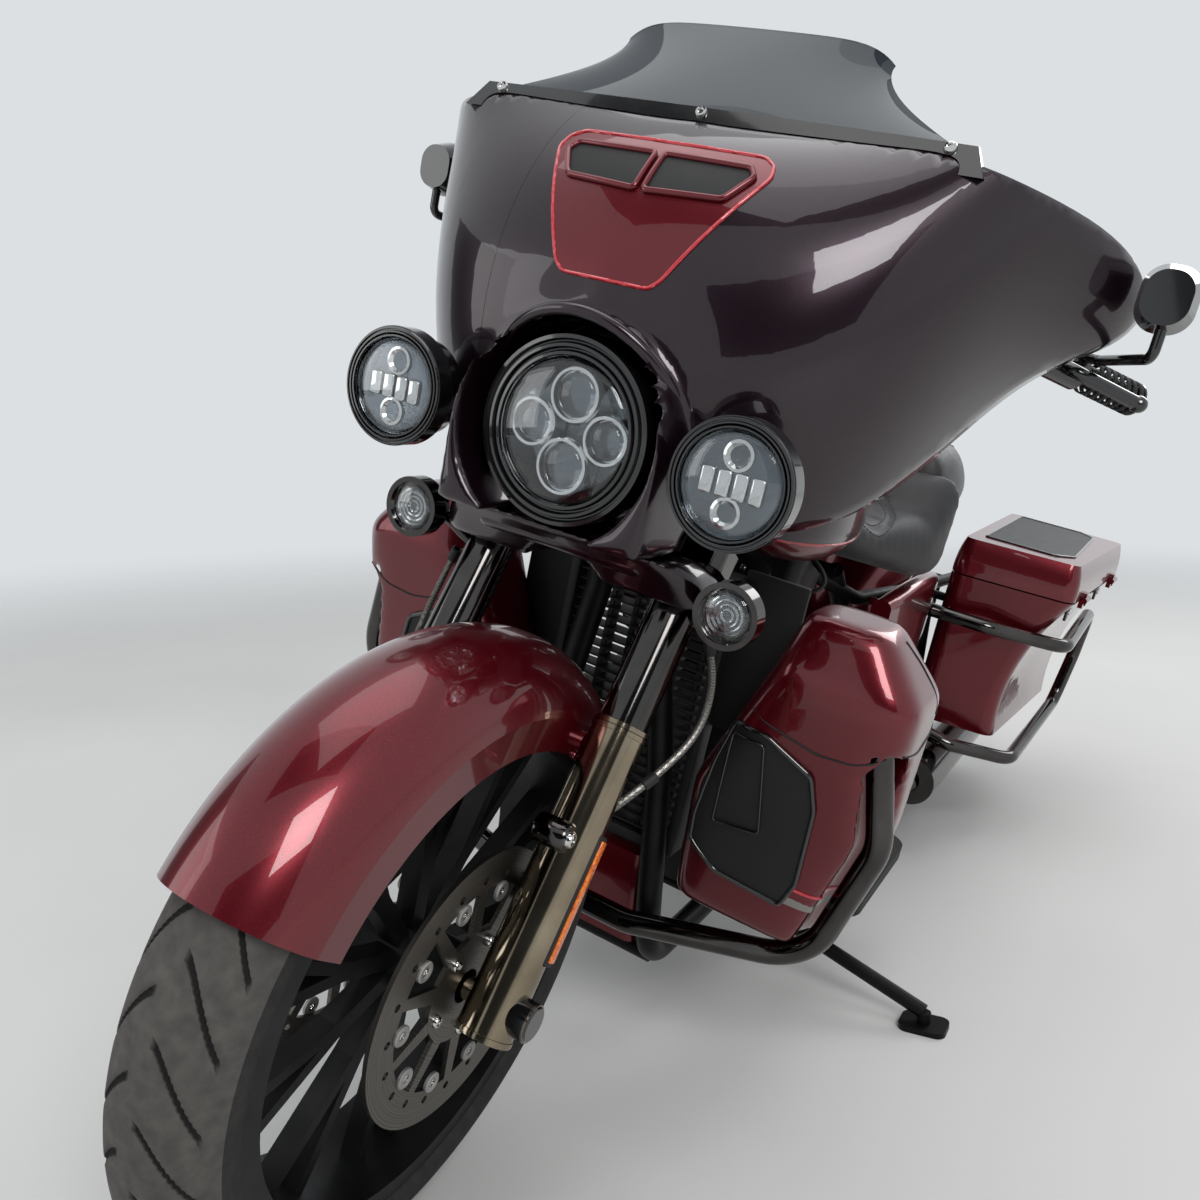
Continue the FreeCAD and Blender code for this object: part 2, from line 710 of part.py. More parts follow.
def make_fairing():
    """Outer shell with its lamp hood, and the inner panel. Gives back the shell."""
    half = fairing_half(36)
    shell = half.fuse(mirrored(half))
    hood = loft([
        hood_outline(1330, 132, 1034, 800),
        hood_outline(1460, 130, 1026, 800),
        hood_outline(1538, 122, 1010, 800),
    ])
    inside = loft([hood_outline(1320, 120, 1020, 790), hood_outline(1440, 118, 1014, 790)], ruled=True)
    lip = Part.makeBox(600, 400, 600, at(1538 + 400, -300, 1012 - 600))
    lip.rotate(at(1538, 0, 1012), LEFT, -32)
    hood = hood.cut(lip)
    lamp = at(size("headlamp_forward"), 0, size("headlamp_up"))
    bore = size("headlamp_radius") + size("hood_gap")
    cavity = Part.makeCylinder(bore, 200, lamp - FORWARD * (size("headlamp_depth") + SEAM), FORWARD)
    room = Part.makeCylinder(size("neck_radius") + 10, 340, steering_point(700), steering_direction)
    shell = shell.fuse(hood.cut(inside)).cut(cavity).cut(room)
    shell = main_solid(shell.cut(fork_room()))
    solid("fairing_outer", shell)
    dash = loft([
        level_section((1250, 1326), (-330, 330), 1016, 20),
        level_section((1216, 1312), (-330, 330), 1120, 20),
        level_section((1232, 1312), (-280, 280), 1214, 20),
    ], ruled=True)
    slot = block((1190, 1400), (-220, 220), (1000, 1152))
    skin = fairing_half(37)
    solid("fairing_inner", main_solid(dash.cut(slot).cut(shell).cut(skin).cut(mirrored(skin))))
    return shell


def screen_section(up, half, forward, sag, wall):
    """A level slice of the screen: an arc across, wall thick."""
    outer = [at(forward - sag, -half, up), at(forward, 0, up), at(forward - sag, half, up)]
    inner = [place - FORWARD * wall for place in outer]
    return Part.Wire([
        Part.Arc(*outer).toShape(),
        Part.makeLine(outer[2], inner[2]),
        Part.Arc(inner[2], inner[1], inner[0]).toShape(),
        Part.makeLine(inner[0], outer[0]),
    ])


def make_screen(shell):
    """The low smoked screen and the band that holds it to the fairing's shell."""
    screen = loft([
        screen_section(1222, 296, 1352, 10, 5),
        screen_section(1290, 232, 1312, 26, 5),
        screen_section(1344, 150, 1268, 20, 5),
    ])
    band = loft([
        screen_section(1214, 302, 1366, 12, 13.5),
        screen_section(1244, 286, 1349, 12, 9.5),
    ])
    skin = shell.translated((FORWARD + UP) * 0.5)
    screen = main_solid(screen.cut(skin))
    solid("windshield", screen)
    solid("windshield_trim", main_solid(band.cut(skin).cut(screen.translated(FORWARD * 0.5))))


def lamp_body(name, radius, depth):
    """A round lamp seen from the side: bezel, lens recess and a bowl that narrows to the back."""
    body = new_body(name)
    revolve(body, name + "_turn", [
        ("0", "0"),
        ("0", f"{radius} - 12"),
        ("-8", f"{radius} - 6"),
        ("-8", radius),
        ("14", radius),
        ("14", f"{radius} - 4"),
        (f"{depth} * 0.6", f"{radius} * 0.84"),
        (depth, f"{radius} * 0.42"),
        (depth, "0"),
    ])
    return body


def make_lamps(shell):
    """Headlamp, two extra lamps and two turn signals, on their brackets."""
    headlamp = lamp_body("headlamp", "headlamp_radius", "headlamp_depth")
    node("headlamp", headlamp, Placement(at(size("headlamp_forward"), 0, size("headlamp_up")), Rotation(UP, 90)))
    seat = Rotation(UP, 90)
    for name, stem in (("aux_lamps", "aux"), ("turn_signals", "signal")):
        body = lamp_body(name + "_bowl", f"{stem}_radius", f"{stem}_depth")
        document.recompute()
        bowl = body.Shape.copy()
        bowl.Placement = Placement(
            at(size(f"{stem}_forward"), size(f"{stem}_left"), size(f"{stem}_up")), seat)
        back = at(size(f"{stem}_forward") - size(f"{stem}_depth") + 6, size(f"{stem}_left"), size(f"{stem}_up"))
        if stem == "aux":
            arm = main_solid(rod(back, back - FORWARD * 60, 12).cut(shell.translated(FORWARD * 0.5)))
        else:
            leg = rod(fork_point(320, size("leg_left")), fork_point(495, size("leg_left")),
                      size("cover_radius") + SEAM)
            arm = rod(back, fork_point(440, size("leg_left") + 26, 0), 7).cut(leg)
            clear = rod(back, fork_point(440, size("leg_left") + 10, 0), 8)
        side = main_solid(fused(bowl, arm))
        solid(name, both(side))
    skirt = loft([
        level_section((1376, 1452), (-168, 168), 748, 30),
        level_section((1372, 1474), (-160, 160), 778, 34),
        level_section((1366, 1492), (-140, 140), 798, 38),
    ])
    cover = size("cover_radius") + SEAM
    legs = [rod(fork_point(400, side), fork_point(620, side), cover) for side in (size("leg_left"), -size("leg_left"))]
    room = Part.makeCylinder(50, 200, steering_point(700), steering_direction)
    clamp = Part.makeBox(400, 130, 80)
    clamp.Placement = fork_frame.multiply(Placement(Vector(-200, -74, size("clamp_low") - 4), Rotation()))
    skirt = skirt.cut(Part.makeCompound(legs + [clear, mirrored(clear)])).cut(room).cut(clamp)
    solid("nacelle_skirt", main_solid(skirt))


def make_controls():
    """Handlebar, grips with levers, mirrors and the front calipers."""
    foot = size("clamp_high") + size("clamp_thickness") - 6
    elbow, end = at(1120, 330, 1084), at(980, 455, 1050)
    bar = tube([
        fork_point(foot + 70, -62, 24), fork_point(foot + 70, 62, 24), at(1190, 190, 1128), elbow, end
    ], size("bar_tube"), 50)
    risers = [rod(fork_point(foot + SEAM, side, 24), fork_point(foot + 72, side, 24), 15) for side in (48, -48)]
    solid("handlebar", fused(bar, mirrored(bar), *risers))
    way = (end - elbow).normalize()
    bore = rod(end - way * 160, end + way, size("bar_tube") + SEAM)
    grip = rod(end - way * 96 + way * 14, end + way * 14, size("grip_radius"))
    switch = rod(end - way * 132, end - way * 84, size("grip_radius") + 3)
    perch = tube([end - way * 120, end - way * 110 + at(46, 18, -4), end + at(74, 22, -6)], 8, 20)
    knob = Part.makeSphere(10, end + at(74, 22, -6))
    solid("hand_controls", both(main_solid(fused(grip, switch, perch, knob).cut(bore))))
    shell = loft([
        cross_section(1144, (446, 506), (1118, 1190), 26),
        cross_section(1174, (452, 500), (1126, 1182), 22),
    ])
    stalk = tube([end - way * 104 + at(0, 0, 16), at(1062, 422, 1082), at(1156, 480, 1092), at(1156, 480, 1126)],
                 6, 12)
    clear = rod(end - way * 150, end - way * 60, size("grip_radius") + 3 + SEAM)
    solid("mirrors", both(fused(shell, stalk.cut(clear))))
    caliper = Part.makeBox(42, 56, 108)
    place = Placement(Vector(size("front_rotor_left") - 21 + 2, 84, 60), Rotation())
    caliper.Placement = fork_frame.multiply(place)
    disc = Part.makeCylinder(size("rotor_radius") + 6, size("rotor_thickness") + 10.4,
                             front_axle + LEFT * (size("front_rotor_left") - size("rotor_thickness") / 2 - 5.2), LEFT)
    arm = Part.makeBox(34, 70, 24)
    arm.Placement = fork_frame.multiply(Placement(Vector(88, 24, 96), Rotation()))
    leg = rod(fork_point(0, size("leg_left")), fork_point(300, size("leg_left")), size("slider_radius") + 0.3)
    solid("front_calipers", both(fused(caliper, arm).cut(disc).cut(leg)))


def make_frame():
    """Neck, backbone, cradle, seat rails and the block that carries the stand."""
    low, high = neck_span()
    side, radius = size("cradle_left"), size("frame_tube")
    neck = rod(low, high, size("neck_radius"))
    down = tube([
        steering_point(878) - FORWARD * 20 + LEFT * 14,
        at(1262, 44, 690),
        at(1236, 82, 480),
        at(1218, side - 6, 262),
        at(1190, side, size("cradle_up")),
        at(540, side, size("cradle_up")),
        at(478, 80, 190),
        at(470, 72, 270),
        at(470, 72, 560),
        at(560, 60, 648),
    ], radius, 90)
    rail = tube([at(610, 40, 640), at(470, 92, 590), at(200, 140, 585), at(-190, 150, 560)], 13, 90)
    spine = tube([steering_point(904), at(1150, 0, 868), at(800, 0, 748), at(640, 0, 676), at(548, 0, 636)],
                 size("backbone_tube"), 120)
    cross = [
        rod(at(1180, -side, size("cradle_up")), at(1180, side, size("cradle_up")), 12),
        rod(at(560, -side, size("cradle_up")), at(560, side, size("cradle_up")), 12),
        rod(at(560, -66, 642), at(560, 66, 642), 16),
    ]
    sides = []
    for pos, up in ((-150, 556), (120, 571)):
        sides.append(rod(at(pos, size("rear_fender_half") + SEAM, up), at(pos, size("bag_inner") - SEAM, up), 9))
    sides.append(rod(at(226, 134, 582.3), at(226, 168, 582.3), 8))
    sides.append(rod(at(1218, 106, 256), at(1235.2, 106, 256), 9))
    cross += sides + [mirrored(side_rod) for side_rod in sides]
    for pos in (1000, 680):
        cross.append(rod(at(pos, -side, 192 - SEAM), at(pos, side, 192 - SEAM), 8))
    for pos, up in ((1000, 817), (1110, 854)):
        cross.append(rod(at(pos, SEAM - 34, up), at(pos, 34 - SEAM, up), 8))
    whole = neck.multiFuse([down, mirrored(down), rail, mirrored(rail), spine] + cross)
    bore = rod(low - steering_direction * 5, high + steering_direction * 5, size("stem_radius") + size("axle_play"))
    pivot = at(size("stand_forward"), size("stand_left"), size("stand_up"))
    lug = block((size("stand_forward") - 24, size("stand_forward") + 24),
                (side, size("stand_left") + 4), (size("stand_up") + 14, size("stand_up") + 32))
    pin = Part.makeCylinder(8, 46, pivot - UP * 15, UP)
    solid("frame", whole.cut(bore).fuse([lug, pin]))
    arm = tube([at(470, 20, 330), at(424, 50, 330), at(400, 160, 330), at(0, 160, 328)], 18, 30)
    dropout = block((-40, 40), (146, 172), (300, 356), 8)
    swing = fused(arm, dropout)
    pin = rod(at(0, -172, rear_axle.z), at(0, 172, rear_axle.z), size("axle_radius"))
    pivot_tube = rod(at(470, SEAM - 55, 330), at(470, 55 - SEAM, 330), 22)
    shock = fused(rod(at(60, 166, 352), at(190, 166, 541), 20), rod(at(60, 150, 340), at(60, 182, 340), 10))
    eye = rod(at(196, 153 + SEAM, 560), at(196, 184, 560), 12)
    shock = shock.fuse([eye, rod(at(190, 168, 541), at(196, 168, 560), 9)])
    solid("swingarm", fused(swing, mirrored(swing), pin, pivot_tube, shock, mirrored(shock)))


def make_engine():
    """Crankcase with its covers, and the two finned cylinders."""
    half = size("case_half")
    crank = at(size("crank_forward"), 0, size("crank_up"))
    case = Part.makeCylinder(132, 2 * half, crank - LEFT * half, LEFT)
    gearbox = block((500, 800), (-half, half), (214, 450), 20)
    sump = block((640, 1010), (-80, 80), (200, 330), 20)
    cam = Part.makeCylinder(92, 34, at(880, -half + 2, 380), LEFT * -1)
    decks = []
    for sign in (1, -1):
        way = Rotation(LEFT, sign * size("cylinder_angle")).multVec(UP)
        decks.append(rod(crank + way * 90, crank + way * (size("cylinder_base") - SEAM), size("barrel_radius") - 2))
    case = fused(case, gearbox, sump, cam, *decks)
    solid("crankcase", case)
    primary = rounded([
        at(1000, half + 0.3, 268), at(1000, half + 0.3, 470), at(560, half + 0.3, 480), at(560, half + 0.3, 236)
    ], 96, closed=True)
    face = Part.Face(primary)
    solid("primary_cover", face.extrude(LEFT * 66))
    pair = []
    for name, sign in (("front_cylinder", 1), ("rear_cylinder", -1)):
        body = new_body(name)
        base = ring_profile(body, name + "_bore", "XY_Plane", [("0", "0", "barrel_radius")])
        pad(body, name + "_barrel", base, "barrel_fins * fin_pitch + head_fins * fin_pitch + 20")
        outline = [
            ("fin_corner - fin_half", "-fin_half"),
            ("fin_half - fin_corner", "-fin_half", "fin_corner", -1),
            ("fin_half", "fin_corner - fin_half"),
            ("fin_half", "fin_half - fin_corner", "fin_corner", -1),
            ("fin_half - fin_corner", "fin_half"),
            ("fin_corner - fin_half", "fin_half", "fin_corner", -1),
            ("-fin_half", "fin_half - fin_corner"),
            ("-fin_half", "fin_corner - fin_half", "fin_corner", -1),
        ]
        fin_sketch = profile(body, name + "_fin_profile", "XY_Plane", outline, "8")
        fin = pad(body, name + "_fin", fin_sketch, "fin_thickness")
        row_of(body, name + "_fins", fin, "barrel_fins + head_fins",
               "(barrel_fins + head_fins - 1) * fin_pitch")
        cap = profile(body, name + "_rocker_profile", "XY_Plane", outline,
                      "(barrel_fins + head_fins) * fin_pitch + 8")
        pad(body, name + "_rocker", cap, "rocker_height")
        tilt = Rotation(LEFT, sign * size("cylinder_angle"))
        body.Placement = Placement(crank + tilt.multVec(UP) * size("cylinder_base"), tilt)
        pair.append(body)
    cylinders = document.addObject("Part::Compound", "cylinders")
    cylinders.Links = pair
    node("cylinders", cylinders)


def port(sign, out=0.0):
    """The exhaust port of the front (1) or rear (-1) cylinder, or a place straight out from it."""
    tilt = Rotation(LEFT, sign * size("cylinder_angle"))
    crank = at(size("crank_forward"), 0, size("crank_up"))
    share = size("cylinder_base") + size("barrel_fins") * size("fin_pitch") + 30
    reach = size("fin_half") + SEAM + out
    return crank + tilt.multVec(UP * share + FORWARD * sign * reach) - LEFT * 34


def make_exhaust():
    """Header pipes from both cylinders and a muffler on each side."""
    front, back = size("muffler_front"), size("muffler_back")
    left, up = size("muffler_left"), size("muffler_up")
    radius = size("header_radius")
    mufflers = []
    for side in (1, -1):
        body = rod(at(front, side * left, up), at(back, side * (left + 14), up), size("muffler_radius"))
        mufflers.append(body)
    front_pipe = tube([
        port(1), port(1, 50), at(1112, -150, 440), at(1050, -178, 262),
        at(700, -186, 262), at(500, -222, 246), at(front, -left, up)
    ], radius, 80)
    rear_pipe = tube([
        port(-1), port(-1, 46), at(626, -172, 450), at(596, -184, 300), at(480, -222, 246)
    ], radius, 60)
    cross = tube([at(440, -232, 242), at(400, -120, 176), at(400, 120, 176), at(front + 30, 240, 220),
                  at(front, left, up)], radius, 60)
    solid("exhaust", fused(*mufflers, front_pipe, rear_pipe, cross))


def make_tank():
    """Fuel tank astride the spine, with its console and fuel door."""
    tank = loft([
        cross_section(1176, (-66, 66), (838, 926), 30),
        cross_section(1080, (-158, 158), (752, 952), 60),
        cross_section(900, (-172, 172), (740, 950), 62),
        cross_section(720, (-112, 112), (722, 872), 46),
    ])
    tunnel = block((600, 1260), (-84, 84), (600, 800))
    slot = block((600, 1260), (-34, 34), (700, 906))
    solid("fuel_tank", tank.cut(tunnel).cut(slot))
    console = loft([
        cross_section(1120, (-30, 30), (925, 956), 12),
        cross_section(980, (-44, 44), (940, 972), 14),
        cross_section(760, (-34, 34), (886, 926), 12),
    ])
    console = console.cut(tank.translated(UP * 0.8)).cut(block((1041, 1060), (-13, 13), (964, 990)))
    well = block((950, 1042), (-26, 26), (958.5, 990), 10)
    hinge = door_hinge()
    pin = rod(hinge - LEFT * 20, hinge + LEFT * 20, 2)
    lugs = [block((1048, 1056), (left, left + 6), (961, 974)) for left in (-20, 14)]
    solid("tank_console", console.cut(well).fuse([pin] + lugs))
    door = block((951.3, 1040), (-24.7, 24.7), (958.8, 973), 10)
    tab = block((1034, 1052), (-12, 12), (966.5, 973.5))
    bore = rod(hinge - LEFT * 30, hinge + LEFT * 30, 2 + size("axle_play"))
    sleeve = rod(hinge - LEFT * 12, hinge + LEFT * 12, 4)
    solid("fuel_door", fused(door, tab, sleeve).cut(bore))


def door_hinge():
    """The middle of the fuel door's hinge line, ahead of the door on the console's top."""
    return at(1052, 0, 970)


def make_seats():
    """Rider's bucket and pillion pad."""
    rider = loft([
        cross_section(720 - SEAM, (-98, 98), (744, 796), 24),
        cross_section(600, (-150, 150), (692, 744), 24),
        cross_section(470, (-212, 212), (668, 764), 40),
        cross_section(392, (-222, 222), (652, 862), 50),
    ], ruled=True)
    solid("rider_seat", rider)
    pillion = loft([
        cross_section(392 - SEAM, (-168, 168), (700, 880), 50),
        cross_section(240, (-176, 176), (706, 890), 50),
        cross_section(70, (-140, 140), (716, 858), 50),
    ])
    solid("pillion_seat", pillion)
    side = loft([
        cross_section(548, (140, 176), (420, 620), 16),
        cross_section(420, (152, 192), (440, 640), 18),
        cross_section(250, (158, 190), (500, 640), 16),
    ])
    pegs = [rod(at(pos, left, 588), at(pos, 160, 588), 8) for pos, left in ((440, 112), (300, 137))]
    side = fused(side, *pegs).cut(rod(at(470, 92, 590), at(200, 140, 585), 13 + SEAM))
    solid("side_covers", both(side))


def bag_corners(up, inset=0.0):
    """The four corners of the left bag at a height: front inner, front outer, back outer, back inner."""
    share = (up - size("bag_bottom")) / (size("bag_rim") - size("bag_bottom"))
    outer = size("bag_outer") + size("bag_flare") * share ** 4
    front = size("bag_front") + size("bag_rake") * share
    return [
        at(front - inset, size("bag_inner") + inset, up),
        at(front - size("bag_sweep") - inset, outer - size("bag_taper") - inset, up),
        at(size("bag_back") + 20 + inset, outer - inset, up),
        at(size("bag_back") + inset, size("bag_inner") + inset, up),
    ]


def bag_section(up, inset, lift=0.0):
    """A level slice of the left bag, inset by a wall and drawn lift higher than its height."""
    corners = [corner + UP * lift for corner in bag_corners(up, inset)]
    return rounded(corners, size("bag_corner") - inset, closed=True)


def lid_hinge():
    """The left lid's hinge frame: its middle, outwards along X and back along Y."""
    corners = bag_corners(size("bag_rim"))
    front, back = corners[1], corners[2]
    way = back - front
    turn = math.degrees(math.atan2(-way.x, way.y))
    outwards = Rotation(UP, turn)
    middle = (front + back) * 0.5 + UP * size("lid_gap") * 0.5
    return Placement(middle + outwards.multVec(LEFT) * size("hinge_reach"), outwards)


def hinge_block(along, forwards, up):
    """A box in the left lid's hinge frame, between pairs of X, Y and Z values."""
    shape = Part.makeBox(along[1] - along[0], forwards[1] - forwards[0], up[1] - up[0],
                         Vector(along[0], forwards[0], up[0]))
    shape.Placement = lid_hinge()
    return shape


def hinge_barrel(start, end, radius):
    """A round bar on the left lid's hinge line."""
    frame = lid_hinge()
    return rod(frame.multVec(Vector(0, start, 0)), frame.multVec(Vector(0, end, 0)), radius)


def make_bags():
    """Hollow side bags, their lids and the hinges along the lids' outer edges."""
    bottom, rim, top = size("bag_bottom"), size("bag_rim"), size("lid_top")
    wall, gap = size("bag_wall"), size("lid_gap")
    middle = 0.5 * (bottom + rim)
    shell = loft([bag_section(up, 0) for up in (bottom, middle, rim)])
    inside = loft([bag_section(up, wall) for up in (bottom + wall, middle, rim + 1)])
    bag = shell.cut(inside)
    cover = loft([bag_section(rim, 0, gap), bag_section(rim, 0, gap + 26), bag_section(rim, 10, top - rim)])
    hollow = loft([
        bag_section(rim, wall, gap - 1),
        bag_section(rim, wall, gap + 26 - wall),
        bag_section(rim, wall + 10, top - rim - wall),
    ])
    cover = cover.cut(hollow)
    reach, barrel, pin = size("hinge_reach"), size("hinge_barrel"), size("hinge_pin")
    for middle in (-size("hinge_spread"), size("hinge_spread")):
        for start in (middle - 26, middle + 14):
            lug = hinge_block((-reach - 1, 0), (start, start + 12), (-16, 0))
            bag = bag.fuse([lug, hinge_barrel(start, start + 12, barrel)])
        bag = bag.fuse(hinge_barrel(middle - 26, middle + 26, pin))
        tab = hinge_block((-reach - 1, 1), (middle - 13, middle + 13), (3, 14))
        sleeve = hinge_barrel(middle - 13, middle + 13, barrel)
        bore = hinge_barrel(middle - 14, middle + 14, pin + size("axle_play"))
        cover = cover.fuse([tab, sleeve]).cut(bore)
    solid("saddlebags", both(bag))
    solid("lid_left", cover)
    solid("lid_right", mirrored(cover))


# The engine guard's run down the front of a lower fairing
GUARD_RUN = [at(1290, 344, 660), at(1262, 380, 500), at(1222, 330, 302)]


def make_guards():
    """Engine guard and bag guards."""
    half = tube([
        *GUARD_RUN, at(1254, 96, 256), at(1254, 0, 256)
    ], size("guard_tube"), 90)
    solid("engine_guard", fused(half, mirrored(half)))
    out = size("bag_outer") + 41
    loop = tube([
        at(226, 150, 560), at(226, 300, 560), at(150, out, 552), at(-300, out + 4, 552), at(-330, out, 440),
        at(-290, out - 8, 322), at(150, out - 32, 292), at(226, 300, 302), at(226, 190, 320)
    ], size("bag_tube"), 50)
    solid("bag_guards", both(loop))


def make_lowers():
    """Lower fairings beside the engine."""
    lower = loft([
        level_section((1176, 1256), (140, 322), 322, 30),
        level_section((1150, 1292), (140, 384), 500, 36),
        level_section((1160, 1330), (212, 388), 680, 40),
        level_section((1200, 1306), (232, 330), 752, 30),
    ], ruled=True)
    groove = size("guard_tube") + 13
    run = GUARD_RUN + [at(1254, 96, 256)]
    runs = [rod(start, end, groove) for start, end in zip(run, run[1:])]
    balls = [Part.makeSphere(groove, place) for place in GUARD_RUN[1:]]
    solid("lowers", both(main_solid(lower.cut(Part.makeCompound(runs + balls)))))
    chin = loft([
        level_section((1150, 1200), (-90, 90), size("cradle_up") + 12 + SEAM, 14),
        level_section((1150, 1214), (-84, 84), 330, 14),
    ])
    solid("chin_cover", chin)


def make_small():
    """Air cleaner, boards, foot controls, tail lamp and plate bracket, belt and side stand."""
    cleaner = loft([
        Part.Wire([Part.makeCircle(88, at(870, -100, 610), LEFT)]),
        Part.Wire([Part.makeCircle(92, at(870, -150, 610), LEFT)]),
        Part.Wire([Part.makeCircle(70, at(870, -170, 610), LEFT)]),
    ], ruled=True)
    reach = (620 - size("crank_up")) * math.sin(math.radians(size("cylinder_angle")))
    middle = size("crank_forward")
    intake = rod(at(middle, -110, 620), at(middle, 20, 620), reach - size("fin_half") - SEAM)
    solid("air_cleaner", fused(cleaner, intake))
    board = block((712, 1012), (240, 340), (262, 284), 40)
    start = size("cradle_left") + size("frame_tube") + SEAM
    up = size("cradle_up")
    strut = [tube([at(pos, start, up), at(pos, 236, up + 8), at(pos, 270, 274)], 9, 20) for pos in (740, 960)]
    pedal = fused(rod(at(998, 268, 276), at(1060, 232, 340), 7), rod(at(1060, 206, 340), at(1060, 264, 340), 12))
    solid("footboards", both(fused(board, pedal, *strut)))
    arch = Part.makeCylinder(size("rear_tyre_radius") + REAR_FENDER_GAP + 1.6, 400, rear_axle - LEFT * 200, LEFT)
    lamp = block((-318, -200), (-60, 60), (516, 592), 12)
    arm = block((-384, -290), (-30, 30), (472, 494))
    plate_holder = block((-392, -384), (-96, 96), (352, 500))
    solid("tail_lamp", Part.makeCompound([lamp.cut(arch), fused(plate_holder, arm.cut(arch))]))
    inner, outer = size("pulley_radius") + 0.6, size("pulley_radius") + 6
    edge = LEFT * (size("belt_left") - size("belt_width") / 2)
    back, front = rear_axle + edge, at(512, 0, 344) + edge
    loops = []
    for radius, small in ((outer, 44), (inner, 38.6)):
        wheel = Part.makeCylinder(radius, size("belt_width"), back, LEFT)
        sprocket = Part.makeCylinder(small, size("belt_width"), front, LEFT)
        run = front - back
        lean = math.asin((radius - small) / run.Length)
        way = run.normalize()
        normal = LEFT.cross(way)
        quad = []
        for sign in (1, -1):
            edge = way * math.sin(lean) + normal * sign * math.cos(lean)
            quad.append((back + edge * radius, front + edge * small))
        strip = Part.Face(Part.makePolygon([quad[0][0], quad[0][1], quad[1][1], quad[1][0], quad[0][0]]))
        loops.append(fused(wheel, sprocket, strip.extrude(LEFT * size("belt_width"))))
    solid("final_belt", loops[0].cut(loops[1]))


def stance():
    """Where the leaning machine stands: tilted onto its stand and lifted until both tyres touch."""
    lean = Rotation(Vector(0, 1, 0), size("lean_angle"))
    lows = []
    for end, axle in (("front", front_axle), ("rear", rear_axle)):
        crown = size(f"{end}_crown")
        ring = size(f"{end}_tyre_radius") - crown
        centre = lean.multVec(axle)
        tilt = lean.multVec(LEFT).z
        lows.append(centre.z - ring * math.sqrt(1 - tilt * tilt) - crown)
    pitch = math.degrees(math.atan((lows[0] - lows[1]) / size("wheelbase")))
    turn = Rotation(LEFT, pitch).multiply(lean)
    centre = turn.multVec(rear_axle)
    tilt = turn.multVec(LEFT).z
    crown = size("rear_crown")
    ring = size("rear_tyre_radius") - crown
    low = centre.z - ring * math.sqrt(1 - tilt * tilt) - crown
    return Placement(Vector(-212, 776, -low), turn)


def make_stand(parked):
    """The side stand: an eye on the frame's pin, a leg and a foot flat on the ground."""
    pivot = at(size("stand_forward"), size("stand_left"), size("stand_up"))
    ground = Vector(size("foot_left"), -size("foot_forward"), 0) + Vector(parked.Base.x, parked.Base.y, 0)
    back = parked.inverse()
    foot = back.multVec(ground)
    up = back.Rotation.multVec(UP)
    eye = Part.makeCylinder(19, 24, pivot - UP * 12, UP)
    knee = pivot + at(10, 60, -6)
    ankle = foot + up * 24
    leg = tube([pivot + at(0, 14, 0), knee, ankle], size("stand_tube"), 60)
    pad_low = Part.Face(rounded([
        foot + back.Rotation.multVec(Vector(dx, dy, 0)) for dx, dy in ((-34, -26), (34, -26), (34, 26), (-34, 26))
    ], 14, closed=True))
    pad = pad_low.extrude(up * 8)
    neck = rod(foot + up * 6, ankle, 10)
    stand = fused(eye, leg, pad, neck).cut(Part.makeCylinder(8 + size("axle_play"), 60, pivot - UP * 30, UP))
    solid("side_stand", stand)


def main():
    """Builds every sub-part, stands the machine on its stand and writes each sub-part's file."""
    make_wheels()
    make_fork()
    make_fenders()
    shell = make_fairing()
    make_screen(shell)
    make_lamps(shell)
    make_controls()
    make_frame()
    make_engine()
    make_exhaust()
    make_tank()
    make_seats()
    make_bags()
    make_guards()
    make_lowers()
    make_small()
    parked = stance()
    make_stand(parked)
    document.recompute()
    for item, local in NODES.values():
        item.Placement = parked.multiply(local)
    document.recompute()
    for item in document.Objects:
        if {"Invalid", "Error"} & set(item.State):
            raise RuntimeError(f"{item.Name} failed: {item.State}")
    os.makedirs("parts", exist_ok=True)
    for name, (item, local) in NODES.items():
        if item.Shape.isNull() or not item.Shape.isValid():
            raise RuntimeError(f"{name} has no valid shape")
    for name, (item, local) in NODES.items():
        item.Shape.exportStep(f"parts/{name}.step")


main()
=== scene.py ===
"""Looks, stage and camera for the leaning touring cruiser motorcycle."""

import json
import math

import bmesh
import bpy
from bpy.props import FloatProperty, PointerProperty, StringProperty
from mathutils import Matrix, Vector
from mathutils.bvhtree import BVHTree


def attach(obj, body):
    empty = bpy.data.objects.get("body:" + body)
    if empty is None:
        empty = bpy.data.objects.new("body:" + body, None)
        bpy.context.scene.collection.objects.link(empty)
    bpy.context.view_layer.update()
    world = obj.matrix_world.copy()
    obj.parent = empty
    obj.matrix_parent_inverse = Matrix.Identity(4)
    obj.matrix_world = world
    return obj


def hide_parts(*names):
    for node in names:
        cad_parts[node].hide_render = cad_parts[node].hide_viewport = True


bl_info = {
    "name": "Touring cruiser motorcycle",
    "version": (1, 0, 0),
    "blender": (4, 5, 0),
    "location": "View3D > Sidebar > Cruiser",
    "description": "Dresses the packed touring cruiser with finishes, lamps, trim, seats and a stage",
    "category": "Object",
}

